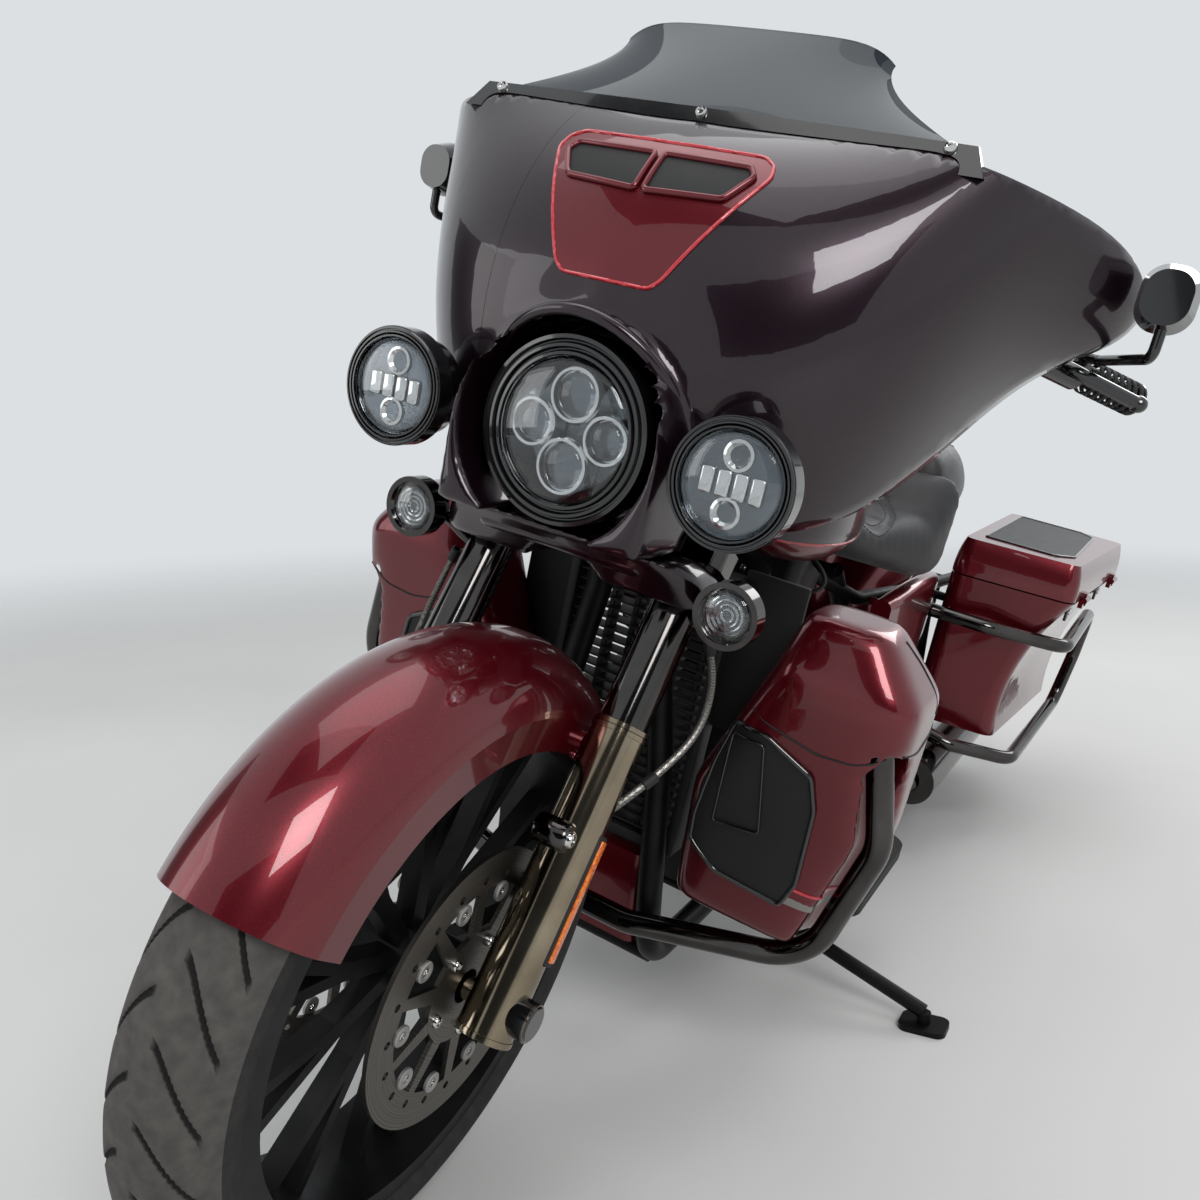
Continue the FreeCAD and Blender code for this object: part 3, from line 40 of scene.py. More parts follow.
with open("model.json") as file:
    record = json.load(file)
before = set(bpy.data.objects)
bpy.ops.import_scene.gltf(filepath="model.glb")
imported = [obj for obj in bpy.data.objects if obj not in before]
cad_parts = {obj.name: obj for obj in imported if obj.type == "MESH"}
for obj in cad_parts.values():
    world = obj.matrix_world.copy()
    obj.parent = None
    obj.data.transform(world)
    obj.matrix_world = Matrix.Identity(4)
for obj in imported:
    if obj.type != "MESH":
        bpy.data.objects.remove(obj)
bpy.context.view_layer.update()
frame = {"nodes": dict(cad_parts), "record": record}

# The parked machine: from its own upright frame (left, back, up, millimetres) to the row frame in metres
STANCE = Matrix((
    (0.9685832, 0.0, 0.2486899, -0.212),
    (0.0001394, 0.9999998, -0.0005431, 0.776),
    (-0.2486898, 0.0005607, 0.968583, 0.0029847),
    (0.0, 0.0, 0.0, 1.0),
))
TO_ROW = STANCE @ Matrix.Scale(0.001, 4)
LEFT = Vector((1, 0, 0))
AHEAD = Vector((0, -1, 0))
UP = Vector((0, 0, 1))
FORK_RAKE = math.radians(29.25)
FRONT_AXLE = Vector((0, -1625, 345))
REAR_AXLE = Vector((0, 0, 328))
BODY_OF = {node: body for body, nodes in frame["record"]["behaviour"]["bodies"].items() for node in nodes}
HEADLAMP = Vector((0, -1505, 901))
LAMP_RADIUS = 98
TREAD_DEPTH_MM = 3.5
FLAKE_SCALE = 1250.0
CLOTH_STEPS = 20
MATERIALS = {}


class CruiserLooks(bpy.types.PropertyGroup):
    """Colours and sizes of the dressed machine."""

    cherry: StringProperty(name="Cherry", description="Metallic red of fenders, bags and lowers",
                           default="#5C0613")
    deep: StringProperty(name="Dark cherry", description="Near-black purple of the fairing",
                         default="#190A13")
    pinstripe: StringProperty(name="Pinstripe", description="Bright red line round the panels",
                              default="#B3202C")
    stripe_width: FloatProperty(name="Stripe width", description="Width of the pinstripe in millimetres",
                                default=4.2, min=1, max=12)
    seat_swell: FloatProperty(name="Seat swell", description="Pressure that fills the seats", default=4.0,
                              min=0, max=10)


def looks():
    """The scene's colours and sizes."""
    return bpy.context.scene.cruiser_looks


def at(forward, left, up):
    """A place on the upright machine, in millimetres."""
    return Vector((left, -forward, up))


def fork_point(along, left=0.0, ahead=0.0):
    """A place told along the fork from the front axle, to the left and ahead."""
    turn = Matrix.Rotation(-FORK_RAKE, 4, "X")
    return FRONT_AXLE + turn @ Vector((left, -ahead, along))


# Materials


def linear(text):
    """A linear colour from an sRGB hex value."""
    channels = [int(text[place:place + 2], 16) / 255 for place in (1, 3, 5)]
    return tuple(c / 12.92 if c <= 0.04045 else ((c + 0.055) / 1.055) ** 2.4 for c in channels) + (1.0,)


def add_node(tree, kind, inputs=None, **settings):
    """A node with its settings, values and links."""
    node = tree.nodes.new(kind)
    for key, value in settings.items():
        setattr(node, key, value)
    for key, value in (inputs or {}).items():
        if isinstance(value, bpy.types.NodeSocket):
            tree.links.new(value, node.inputs[key])
        else:
            node.inputs[key].default_value = value
    return node


def calc(tree, operation, *values):
    """The result of a math node."""
    return add_node(tree, "ShaderNodeMath", dict(enumerate(values)), operation=operation).outputs[0]


def new_material(name, **values):
    """An empty material with its shader and object coordinates in metres."""
    material = bpy.data.materials.new(name)
    material.use_nodes = True
    tree = material.node_tree
    shader = tree.nodes["Principled BSDF"]
    for key, value in values.items():
        shader.inputs[key.replace("_", " ")].default_value = value
    place = tree.nodes.new("ShaderNodeTexCoord").outputs["Object"]
    MATERIALS[name] = material
    return tree, shader, place


def noise(tree, place, size_mm, detail=3.0):
    """A noise whose features are about size_mm across."""
    return add_node(tree, "ShaderNodeTexNoise", {"Vector": place, "Scale": 1000 / size_mm, "Detail": detail})


def ramp(tree, factor, low, high, first, second):
    """A mix of two colours between two values of a factor."""
    mix = add_node(tree, "ShaderNodeValToRGB", {"Fac": factor})
    mix.color_ramp.elements[0].position = low
    mix.color_ramp.elements[0].color = first
    mix.color_ramp.elements[1].position = high
    mix.color_ramp.elements[1].color = second
    return mix.outputs["Color"]


def relief(tree, shader, height, strength, distance_mm):
    """Bump from a height."""
    bump = add_node(tree, "ShaderNodeBump", {"Height": height, "Strength": strength,
                                             "Distance": distance_mm / 1000})
    tree.links.new(bump.outputs["Normal"], shader.inputs["Normal"])


def machine_place(tree, place, centre=Vector()):
    """Object coordinates turned into the upright machine's frame about a place in millimetres."""
    turn = STANCE.to_3x3().inverted().to_euler()
    moved = add_node(tree, "ShaderNodeVectorMath", {0: place, 1: tuple(TO_ROW @ centre)},
                     operation="SUBTRACT")
    spun = add_node(tree, "ShaderNodeMapping", {"Vector": moved.outputs[0], "Rotation": tuple(turn)})
    return add_node(tree, "ShaderNodeSeparateXYZ", {0: spun.outputs[0]}).outputs


def distance_from_axle(tree, spot):
    """How far a place in the machine's frame is from the axle it was told about."""
    flat = add_node(tree, "ShaderNodeCombineXYZ", {"X": spot["Y"], "Y": spot["Z"]})
    return add_node(tree, "ShaderNodeVectorMath", {0: flat.outputs[0]}, operation="LENGTH").outputs["Value"]


def scratches(tree, shader, place, base, spread):
    """Roughness that wavers with faint wipe marks."""
    wipes = noise(tree, place, 26, 5).outputs["Fac"]
    rough = add_node(tree, "ShaderNodeMapRange", {"Value": wipes, "To Min": base, "To Max": base + spread})
    tree.links.new(rough.outputs[0], shader.inputs["Roughness"])


def lacquer(name):
    """What both lacquers share: a coated metallic and its flake, 0.1 mm drawn at 0.8 mm to show."""
    tree, shader, place = new_material(
        name, Metallic=0.65, Roughness=0.28, Coat_Weight=0.8, Coat_Roughness=0.025, IOR=1.5)
    flake = add_node(tree, "ShaderNodeTexVoronoi", {"Vector": place, "Scale": FLAKE_SCALE})
    return tree, shader, place, flake


def metallic_paint(name, colour, bright):
    """Metallic lacquer: fine flake in the colour, under a clear coat that mirrors its surroundings."""
    tree, shader, place, flake = lacquer(name)
    # lighter flakes scattered at random: painted glints, over the flakes' random tone
    tint = ramp(tree, flake.outputs["Color"], 0.25, 0.95, linear(colour), linear(bright))
    cloud = noise(tree, place, 220, 2).outputs["Fac"]
    shade = add_node(tree, "ShaderNodeMix", {"Factor": cloud, 6: tint, 7: linear(colour)}, data_type="RGBA")
    tree.links.new(shade.outputs[2], shader.inputs["Base Color"])
    relief(tree, shader, flake.outputs["Distance"], 0.03, 0.1)


def two_tone(name, level_mm, upper, lower):
    """The tank's metallic lacquer: dark above its stripe and cherry below it."""
    tree, shader, place, flake = lacquer(name)
    rise = machine_place(tree, place)["Z"]
    above = calc(tree, "GREATER_THAN", rise, level_mm / 1000)
    # in both tones the lighter flakes are painted glints scattered at random
    first = ramp(tree, flake.outputs["Color"], 0.25, 0.95, linear(lower), linear("#7E0C20"))
    second = ramp(tree, flake.outputs["Color"], 0.25, 0.95, linear(upper), linear("#2E1526"))
    mix = add_node(tree, "ShaderNodeMix", {"Factor": above, 6: first, 7: second}, data_type="RGBA")
    tree.links.new(mix.outputs[2], shader.inputs["Base Color"])


def plated(name, colour, rough, tint):
    """Chrome plate: a mirror with a faint haze and wipe marks."""
    tree, shader, place = new_material(name, Metallic=1.0)
    haze = noise(tree, place, 60, 4).outputs["Fac"]
    colours = ramp(tree, haze, 0.3, 0.8, linear(colour), linear(tint))
    tree.links.new(colours, shader.inputs["Base Color"])
    scratches(tree, shader, place, rough, 0.07)


def cast_metal(name, colour, light, rough, grain_mm=1.6):
    """Cast alloy or powder coat: a fine orange-peel skin."""
    tree, shader, place = new_material(name, Metallic=0.7, IOR=1.5)
    grain = noise(tree, place, grain_mm, 6).outputs["Fac"]
    soil = noise(tree, place, 45, 4).outputs["Fac"]
    tree.links.new(ramp(tree, soil, 0.35, 0.75, linear(colour), linear(light)), shader.inputs["Base Color"])
    scratches(tree, shader, place, rough, 0.16)
    relief(tree, shader, grain, 0.25, 0.25)


def turned_steel(name, axle):
    """Brake disc: ground steel with rings worn in by the pads, in brownish greys."""
    tree, shader, place = new_material(name, Metallic=1.0, Roughness=0.38, Anisotropic=0.5)
    spot = machine_place(tree, place, axle)
    rings = add_node(tree, "ShaderNodeTexNoise", {"W": distance_from_axle(tree, spot), "Scale": 900.0},
                     noise_dimensions="1D")
    worn = ramp(tree, rings.outputs["Fac"], 0.35, 0.7, linear("#4E4A45"), linear("#7F7B75"))
    tree.links.new(worn, shader.inputs["Base Color"])
    relief(tree, shader, rings.outputs["Fac"], 0.12, 0.1)


def worn_tyre(name, axle, radius_mm, half_mm, blocks):
    """Road tyre: grey worn rubber with swept sipes across the crown and lettering-free ribbed sides."""
    tree, shader, place = new_material(name, IOR=1.5, Specular_IOR_Level=0.3)
    spot = machine_place(tree, place, axle)
    angle = calc(tree, "ARCTAN2", spot["Y"], spot["Z"])
    side = calc(tree, "ABSOLUTE", spot["X"])
    half_step = calc(tree, "MULTIPLY", calc(tree, "SIGN", spot["X"]), 0.25)
    # each sipe sweeps back as it leaves the crown, most near the shoulder
    sweep_share = calc(tree, "MULTIPLY", side, 1000 / half_mm)
    turns = calc(tree, "MULTIPLY", angle, blocks / math.tau)
    swept = calc(tree, "MULTIPLY_ADD", calc(tree, "POWER", sweep_share, 1.6), 1.5, turns)
    saw = calc(tree, "PINGPONG", calc(tree, "ADD", swept, half_step), 0.5)
    narrow = add_node(tree, "ShaderNodeMapRange", {"Value": saw, "From Min": 0.04, "From Max": 0.07})
    crown = add_node(tree, "ShaderNodeMapRange", {"Value": sweep_share, "From Min": 0.10, "From Max": 0.16,
                                                  "To Min": 1.0, "To Max": 0.0})
    shoulder = add_node(tree, "ShaderNodeMapRange", {"Value": sweep_share, "From Min": 0.80,
                                                     "From Max": 0.86})
    reach = distance_from_axle(tree, spot)
    low = calc(tree, "LESS_THAN", reach, (radius_mm - 46) / 1000)
    land = calc(tree, "MAXIMUM", narrow.outputs[0], crown.outputs[0])
    land = calc(tree, "MAXIMUM", calc(tree, "MAXIMUM", land, shoulder.outputs[0]), low)
    rib = calc(tree, "SINE", calc(tree, "MULTIPLY", reach, 1400.0))
    height = calc(tree, "MULTIPLY_ADD", calc(tree, "MULTIPLY", rib, low), 0.05, land)
    dust = noise(tree, place, 14, 6).outputs["Fac"]
    rubber = ramp(tree, dust, 0.3, 0.75, linear("#42403E"), linear("#56534F"))
    side_tone = ramp(tree, dust, 0.3, 0.75, linear("#201F1F"), linear("#2E2D2C"))
    worn = add_node(tree, "ShaderNodeMix", {"Factor": low, 6: rubber, 7: side_tone}, data_type="RGBA")
    # sipes are coloured near black, darker than the unworn sides: painted shade in the sipes over their unworn
    # rubber
    sipes_painted_dark = add_node(tree, "ShaderNodeMix", {"Factor": land, 6: linear("#0C0C0C"),
                                              7: worn.outputs[2]}, data_type="RGBA")
    tree.links.new(sipes_painted_dark.outputs[2], shader.inputs["Base Color"])
    shader.inputs["Roughness"].default_value = 0.78
    fine = noise(tree, place, 1.4, 4).outputs["Fac"]
    relief(tree, shader, calc(tree, "MULTIPLY_ADD", fine, 0.06, height), 0.9, 3.0)


def moulded(name, colour, light, rough, grain_mm, depth, coat=0.0):
    """Moulded plastic or rubber with a fine grain."""
    tree, shader, place = new_material(name, IOR=1.48, Coat_Weight=coat, Coat_Roughness=0.04)
    grain = noise(tree, place, grain_mm, 5).outputs["Fac"]
    dust = noise(tree, place, 70, 4).outputs["Fac"]
    tree.links.new(ramp(tree, dust, 0.35, 0.8, linear(colour), linear(light)), shader.inputs["Base Color"])
    scratches(tree, shader, place, rough, 0.10)
    relief(tree, shader, grain, depth, 0.3)


def grained_leather(name):
    """Seat cover: black vinyl leather with a pebbled grain and a soft sheen on its crowns."""
    tree, shader, place = new_material(name, IOR=1.48, Sheen_Weight=0.15, Sheen_Roughness=0.5)
    cells = add_node(tree, "ShaderNodeTexVoronoi", {"Vector": place, "Scale": 520.0}, feature="F1")
    crease = noise(tree, place, 34, 5).outputs["Fac"]
    # the cover is darker where the crease noise also sinks the relief: painted shade in the creases, over a
    # random tone
    tree.links.new(ramp(tree, crease, 0.3, 0.8, linear("#121113"), linear("#201F22")),
                   shader.inputs["Base Color"])
    scratches(tree, shader, place, 0.42, 0.16)
    relief(tree, shader, calc(tree, "MULTIPLY_ADD", crease, 0.8, cells.outputs["Distance"]), 0.35, 0.6)


def clear_part(name, colour, weight, rough=0.02):
    """Clear or tinted moulded lens: light passes and its face mirrors."""
    tree, shader, place = new_material(name, Transmission_Weight=weight, IOR=1.49)
    shader.inputs["Base Color"].default_value = linear(colour)
    scratches(tree, shader, place, rough, 0.02)


def glowing_lens(name, colour, painted_glow):
    """Coloured lens over a reflector: deep colour with a fine prism pattern whose centres are painted lighter,
    as painted light from within.
    """
    tree, shader, place = new_material(name, IOR=1.5, Roughness=0.12, Coat_Weight=0.6)
    prisms = add_node(tree, "ShaderNodeTexVoronoi", {"Vector": place, "Scale": 260.0}, feature="F1",
                      distance="CHEBYCHEV")
    # prism centres take the lighter colour: painted light, as if the lens were lit
    tree.links.new(ramp(tree, prisms.outputs["Distance"], 0.1, 0.6, linear(painted_glow), linear(colour)),
                   shader.inputs["Base Color"])
    relief(tree, shader, prisms.outputs["Distance"], 0.4, 0.5)


def braid(name):
    """Braided steel hose: crossed strands about 1.5 mm apart under a clear sleeve, drawn as a checker of
    painted highlight and painted shade.
    """
    tree, shader, place = new_material(name, Metallic=0.8, Roughness=0.35)
    # the steel is one colour: the lighter checker squares are painted highlight on the strands, the dark ones
    # painted shade where the strands sink
    strands_and_shade = add_node(tree, "ShaderNodeTexChecker", {"Vector": place, "Scale": 620.0,
                                                    "Color1": linear("#8E8C86"), "Color2": linear("#3B3A38")})
    tree.links.new(strands_and_shade.outputs["Color"], shader.inputs["Base Color"])
    relief(tree, shader, strands_and_shade.outputs["Fac"], 0.5, 0.4)


def make_materials():
    """Every finish of the machine, by the slot it stands for."""
    own = looks()
    # cherry metallic lacquer: deep red with lighter flakes scattered at random, their random tone painted in as
    # flake glints
    metallic_paint("cherry_paint", own.cherry, "#7E0C20")
    # dark cherry lacquer: almost black until a highlight brings out its purple, with purple flakes scattered at
    # random as painted flake glints
    metallic_paint("dark_paint", own.deep, "#2E1526")
    two_tone("tank_paint", 779, own.deep, own.cherry)
    # red pinstripe enamel under the coat
    moulded("pinstripe_enamel", own.pinstripe, "#C42A36", 0.25, 1.0, 0.02, 1.0)
    # satin black frame paint with road dust
    cast_metal("black_paint", "#0E0E0F", "#191919", 0.38, 2.2)
    # black lacquer: near mirror, deepest black
    moulded("gloss_black", "#070708", "#0D0D0E", 0.09, 1.2, 0.02, 0.8)
    # textured black plastic that takes no highlight
    moulded("matte_black", "#0B0B0C", "#131314", 0.55, 0.9, 0.4)
    # smoked, bright and bronze-tinted plate: hard reflections in three tones
    plated("dark_chrome", "#454342", 0.05, "#5A5756")
    plated("bright_chrome", "#C9C8C6", 0.05, "#DADAD8")
    plated("bronze_chrome", "#7E7362", 0.09, "#A09480")
    # painted and bare castings: a grainy satin
    cast_metal("cast_alloy", "#19191A", "#262627", 0.38, 1.6)
    cast_metal("bare_alloy", "#8C8B89", "#A5A4A1", 0.35, 1.4)
    # brake discs: rings of wear round each axle
    turned_steel("disc_steel", FRONT_AXLE)
    turned_steel("rear_disc_steel", REAR_AXLE)
    # road rubber: dusty grey crown and dark sides, with near-black sipes that are partly unworn rubber and
    # partly painted shade
    worn_tyre("tyre_rubber", FRONT_AXLE, 345, 64, 30)
    worn_tyre("rear_rubber", REAR_AXLE, 328, 90, 24)
    # pebbled seat vinyl with a soft sheen
    grained_leather("seat_cover")
    # seam thread, twisted nylon
    moulded("seam_thread", "#3A393C", "#4B4A4E", 0.7, 0.8, 0.6)
    # smoked polycarbonate of the screen
    clear_part("smoked_screen", "#3A4046", 0.95)
    # clear lamp glass, and the red and amber lenses with their prisms, their centres painted lighter as painted
    # light
    clear_part("lamp_lens", "#F4F7F9", 1.0, 0.01)
    glowing_lens("red_lens", "#7A0508", "#D32020")
    glowing_lens("amber_lens", "#C9520A", "#F08A24")
    # ribbed rubber of boards, grips and belt
    moulded("board_rubber", "#0F0F10", "#1A1A1B", 0.7, 1.5, 0.5)
    # brake hose with its steel strands showing
    braid("braided_hose")
    # instrument faces: printed black under glass
    moulded("gauge_face", "#101113", "#18191B", 0.3, 6.0, 0.0, 0.8)
    # grey enamel band under the pinstripe
    moulded("band_enamel", "#6D6A64", "#807C75", 0.3, 1.0, 0.02, 0.8)
    # silvered glass of the mirrors
    plated("mirror_silver", "#D6D9DC", 0.02, "#E2E4E6")
    # vacuum-metallised reflector bowl
    plated("reflector", "#54595D", 0.10, "#6E7478")


# Mesh making


def frame_on(place, way):
    """A matrix whose Z points along way, at a place."""
    turn = UP.rotation_difference(way.normalized())
    return Matrix.Translation(place) @ turn.to_matrix().to_4x4()


def lathe(bm, points, matrix, steps=48):
    """A full turn of a profile of (radius, height) points about a matrix's Z."""
    verts = [bm.verts.new((radius, 0, height)) for radius, height in points]
    edges = [bm.edges.new(pair) for pair in zip(verts, verts[1:])]
    made = bmesh.ops.spin(bm, geom=verts + edges, cent=(0, 0, 0), axis=(0, 0, 1), dvec=(0, 0, 0),
                          angle=math.tau, steps=steps, use_merge=True)
    linked = {vert for edge in edges for vert in edge.verts}
    linked |= {item for item in made["geom_last"] if isinstance(item, bmesh.types.BMVert)}
    grow = list(linked)
    while grow:
        vert = grow.pop()
        for edge in vert.link_edges:
            other = edge.other_vert(vert)
            if other not in linked:
                linked.add(other)
                grow.append(other)
    bmesh.ops.remove_doubles(bm, verts=list(linked), dist=0.001)
    bmesh.ops.transform(bm, matrix=matrix, verts=[vert for vert in linked if vert.is_valid])


def box(bm, size, matrix, bevel=0.0, segments=2):
    """A box of a size in millimetres, with rounded edges."""
    made = bmesh.ops.create_cube(bm, size=1, matrix=matrix @ Matrix.Diagonal((*size, 1)))
    if bevel:
        edges = {edge for vert in made["verts"] for edge in vert.link_edges}
        bmesh.ops.bevel(bm, geom=list(edges), offset=bevel, segments=segments, profile=0.5, affect="EDGES",
                        material=-1)


def sweep(bm, points, radius, closed=False, sides=4, smooth=True):
    """A round tube along a smooth line through points."""
    curve = bpy.data.curves.new("line", "CURVE")
    curve.dimensions = "3D"
    curve.bevel_depth = radius
    curve.bevel_resolution = sides
    curve.use_fill_caps = not closed
    curve.resolution_u = 6
    spline = curve.splines.new("NURBS" if smooth else "POLY")
    spline.points.add(len(points) - 1)
    for point, place in zip(spline.points, points):
        point.co = (*place, 1)
    spline.use_cyclic_u = closed
    if smooth:
        spline.order_u = 3
        spline.use_endpoint_u = not closed
    helper = bpy.data.objects.new("line", curve)
    mesh = bpy.data.meshes.new_from_object(helper)
    bm.from_mesh(mesh)
    bpy.data.objects.remove(helper)
    bpy.data.meshes.remove(mesh)
    bpy.data.curves.remove(curve)


def made_of(name, bm, material):
    """An object in the scene whose mesh takes over a bmesh."""
    mesh = bpy.data.meshes.new(name)
    bm.to_mesh(mesh)
    bm.free()
    mesh.materials.append(material)
    obj = bpy.data.objects.new(name, mesh)
    bpy.context.scene.collection.objects.link(obj)
    return obj


def shade_smooth(mesh):
    """Smooth shading on every face."""
    mesh.polygons.foreach_set("use_smooth", [True] * len(mesh.polygons))


def piece(name, bm, material, body, angle=34):
    """A finished piece in the row frame, riding on its body."""
    bmesh.ops.recalc_face_normals(bm, faces=bm.faces)
    bm.transform(TO_ROW)
    obj = made_of(name, bm, MATERIALS[material])
    shade_smooth(obj.data)
    obj.data.set_sharp_from_angle(angle=math.radians(angle))
    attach(obj, body)
    return obj


def skin_of(name):
    """The surface of a CAD node, in the upright machine's millimetres, for casting rays on."""
    return skin_of_piece(frame["nodes"][name])


def skin_of_piece(obj):
    """The surface of a finished piece, in the upright machine's millimetres."""
    bm = bmesh.new()
    bm.from_mesh(obj.data)
    bm.transform(TO_ROW.inverted())
    tree = BVHTree.FromBMesh(bm)
    bm.free()
    return tree


def landed(tree, start, way, lift):
    """Where a ray meets a skin, lifted off it, or None."""
    place, normal, index, distance = tree.ray_cast(start, way)
    if place is None:
        return None
    return place + (normal if normal.dot(way) < 0 else -normal) * lift


def line_on(tree, points, way, lift, step=14):
    """Points of a polyline cast on a skin along way, step millimetres apart."""
    found = []
    for first, last in zip(points, points[1:]):
        count = max(2, int((last - first).length / step))
        for index in range(count):
            place = landed(tree, first.lerp(last, index / count), way, lift)
            if place is not None:
                found.append(place)
    place = landed(tree, points[-1], way, lift)
    return found + ([place] if place is not None else [])


def patch(bm, tree, corners, way, lift, cell=9, thickness=2.0):
    """A convex panel cast on a skin along way: a grid clipped by its corners' edges."""
    centre = sum(corners, Vector()) / len(corners)
    across = (corners[1] - corners[0]).normalized()
    normal = -way.normalized()
    up = normal.cross(across).normalized()
    reach = max((corner - centre).length for corner in corners) * 1.05
    rows = int(2 * reach / cell)
    turn = Matrix((across, up, normal)).transposed().to_4x4()
    made = bmesh.ops.create_grid(bm, x_segments=rows, y_segments=rows, size=reach,
                                 matrix=Matrix.Translation(centre) @ turn)
    faces = {face for vert in made["verts"] for face in vert.link_faces}
    for first, last in zip(corners, corners[1:] + corners[:1]):
        edge = last - first
        out = edge.cross(normal).normalized()
        if out.dot(centre - first) > 0:
            out = -out
        verts = {vert for face in faces for vert in face.verts}
        edges = {e for face in faces for e in face.edges}
        geom = list(faces) + list(edges) + list(verts)
        cut = bmesh.ops.bisect_plane(bm, geom=geom, plane_co=first, plane_no=out, clear_outer=True)
        faces = {item for item in cut["geom"] if isinstance(item, bmesh.types.BMFace) and item.is_valid}
    verts = {vert for face in faces for vert in face.verts}
    missed = []
    for vert in verts:
        place = landed(tree, vert.co, way, lift)
        if place is None:
            missed.append(vert)
        else:
            vert.co = place
    bmesh.ops.delete(bm, geom=missed, context="VERTS")
    faces = [face for face in faces if face.is_valid]
    bmesh.ops.recalc_face_normals(bm, faces=faces)
    bmesh.ops.solidify(bm, geom=faces, thickness=thickness)


def bolt(bm, place, way, radius=6.0, height=5.0):
    """A domed socket bolt."""
    lathe(bm, [(0, height * 0.45), (radius * 0.5, height * 0.45), (radius * 0.55, height),
               (radius * 0.85, height * 0.92), (radius, height * 0.5), (radius, -1)],
          frame_on(place, way), 16)


def dome(radius, bulge, wall, rings=8):
    """A profile of a shallow closed dome with a wall."""
    outer = [(radius * math.sin(math.radians(90 * i / rings)), bulge * math.cos(math.radians(90 * i / rings)))
             for i in range(rings + 1)]
    inner = [(r * (1 - wall / radius), h - wall) for r, h in reversed(outer)]
    return outer + inner


def eyelet_ring(bm, centre, way, radius, count, size, height, phase=0.0):
    """Domed bolts evenly round a circle."""
    turn = frame_on(centre, way)
    for index in range(count):
        angle = phase + math.tau * index / count
        bolt(bm, turn @ Vector((radius * math.cos(angle), radius * math.sin(angle), 0)), way, size, height)


def stripe(name, tree, points, way, body, width=None, closed=False, material="pinstripe_enamel", lift=0.2):
    """A painted line laid on a skin."""
    bm = bmesh.new()
    places = line_on(tree, points, way, lift)
    sweep(bm, places[:-1] if closed else places, (width or looks().stripe_width) / 2, closed=closed, sides=1)
    return piece(name, bm, material, body, 60)


def loop(*pairs, forward=0.0):
    """Places at one forward distance from pairs of left and up, closed."""
    places = [at(forward, left, up) for left, up in pairs]
    return places + places[:1]


def side_loop(*pairs, left=0.0):
    """Places at one left distance from pairs of forward and up."""
    return [at(forward, left, up) for forward, up in pairs]


def around(tree, centre, radius, angles, lift):
    """Points where level rays towards a centre meet a skin; 0 degrees is from ahead, 90 from the left."""
    found = []
    for angle in angles:
        out = Vector((math.sin(math.radians(angle)), -math.cos(math.radians(angle)), 0))
        place = landed(tree, centre + out * radius, -out, lift)
        if place is not None:
            found.append(place)
    return found


NODE_FINISH = {
    "front_tyre": "tyre_rubber", "rear_tyre": "rear_rubber",
    "front_rim": "cast_alloy", "rear_rim": "cast_alloy",
    "front_rotors": "disc_steel", "rear_discs": "rear_disc_steel", "fork_sliders": "bronze_chrome",
    "fork_uppers": "dark_chrome", "exhaust": "dark_chrome", "bag_guards": "dark_chrome",
    "engine_guard": "dark_chrome", "turn_signals": "dark_chrome", "front_fender": "cherry_paint",
    "rear_fender": "cherry_paint", "fuel_tank": "tank_paint", "side_covers": "cherry_paint",
    "saddlebags": "cherry_paint", "lid_left": "cherry_paint", "lid_right": "cherry_paint",
    "lowers": "cherry_paint", "chin_cover": "cherry_paint", "fairing_outer": "dark_paint",
    "nacelle_skirt": "dark_paint", "fairing_inner": "matte_black", "windshield": "smoked_screen",
    "windshield_trim": "gloss_black", "headlamp": "gloss_black", "aux_lamps": "gloss_black",
    "hand_controls": "gloss_black", "mirrors": "gloss_black", "primary_cover": "gloss_black",
    "tank_console": "gloss_black", "fuel_door": "gloss_black", "air_cleaner": "gloss_black",
    "handlebar": "black_paint", "front_calipers": "black_paint", "frame": "black_paint",
    "swingarm": "black_paint", "side_stand": "black_paint", "crankcase": "cast_alloy",
    "cylinders": "cast_alloy", "rider_seat": "seat_cover", "pillion_seat": "seat_cover",
    "footboards": "board_rubber", "final_belt": "board_rubber", "tail_lamp": "red_lens",
}


class CRUISER_OT_finishes(bpy.types.Operator):
    """Makes the finishes and gives them to the built parts."""

    bl_idname = "cruiser.finishes"
    bl_label = "Finishes"

    def execute(self, context):
        make_materials()
        for name, obj in frame["nodes"].items():
            obj.data.materials.clear()
            obj.data.materials.append(MATERIALS[NODE_FINISH[name]])
        return {"FINISHED"}


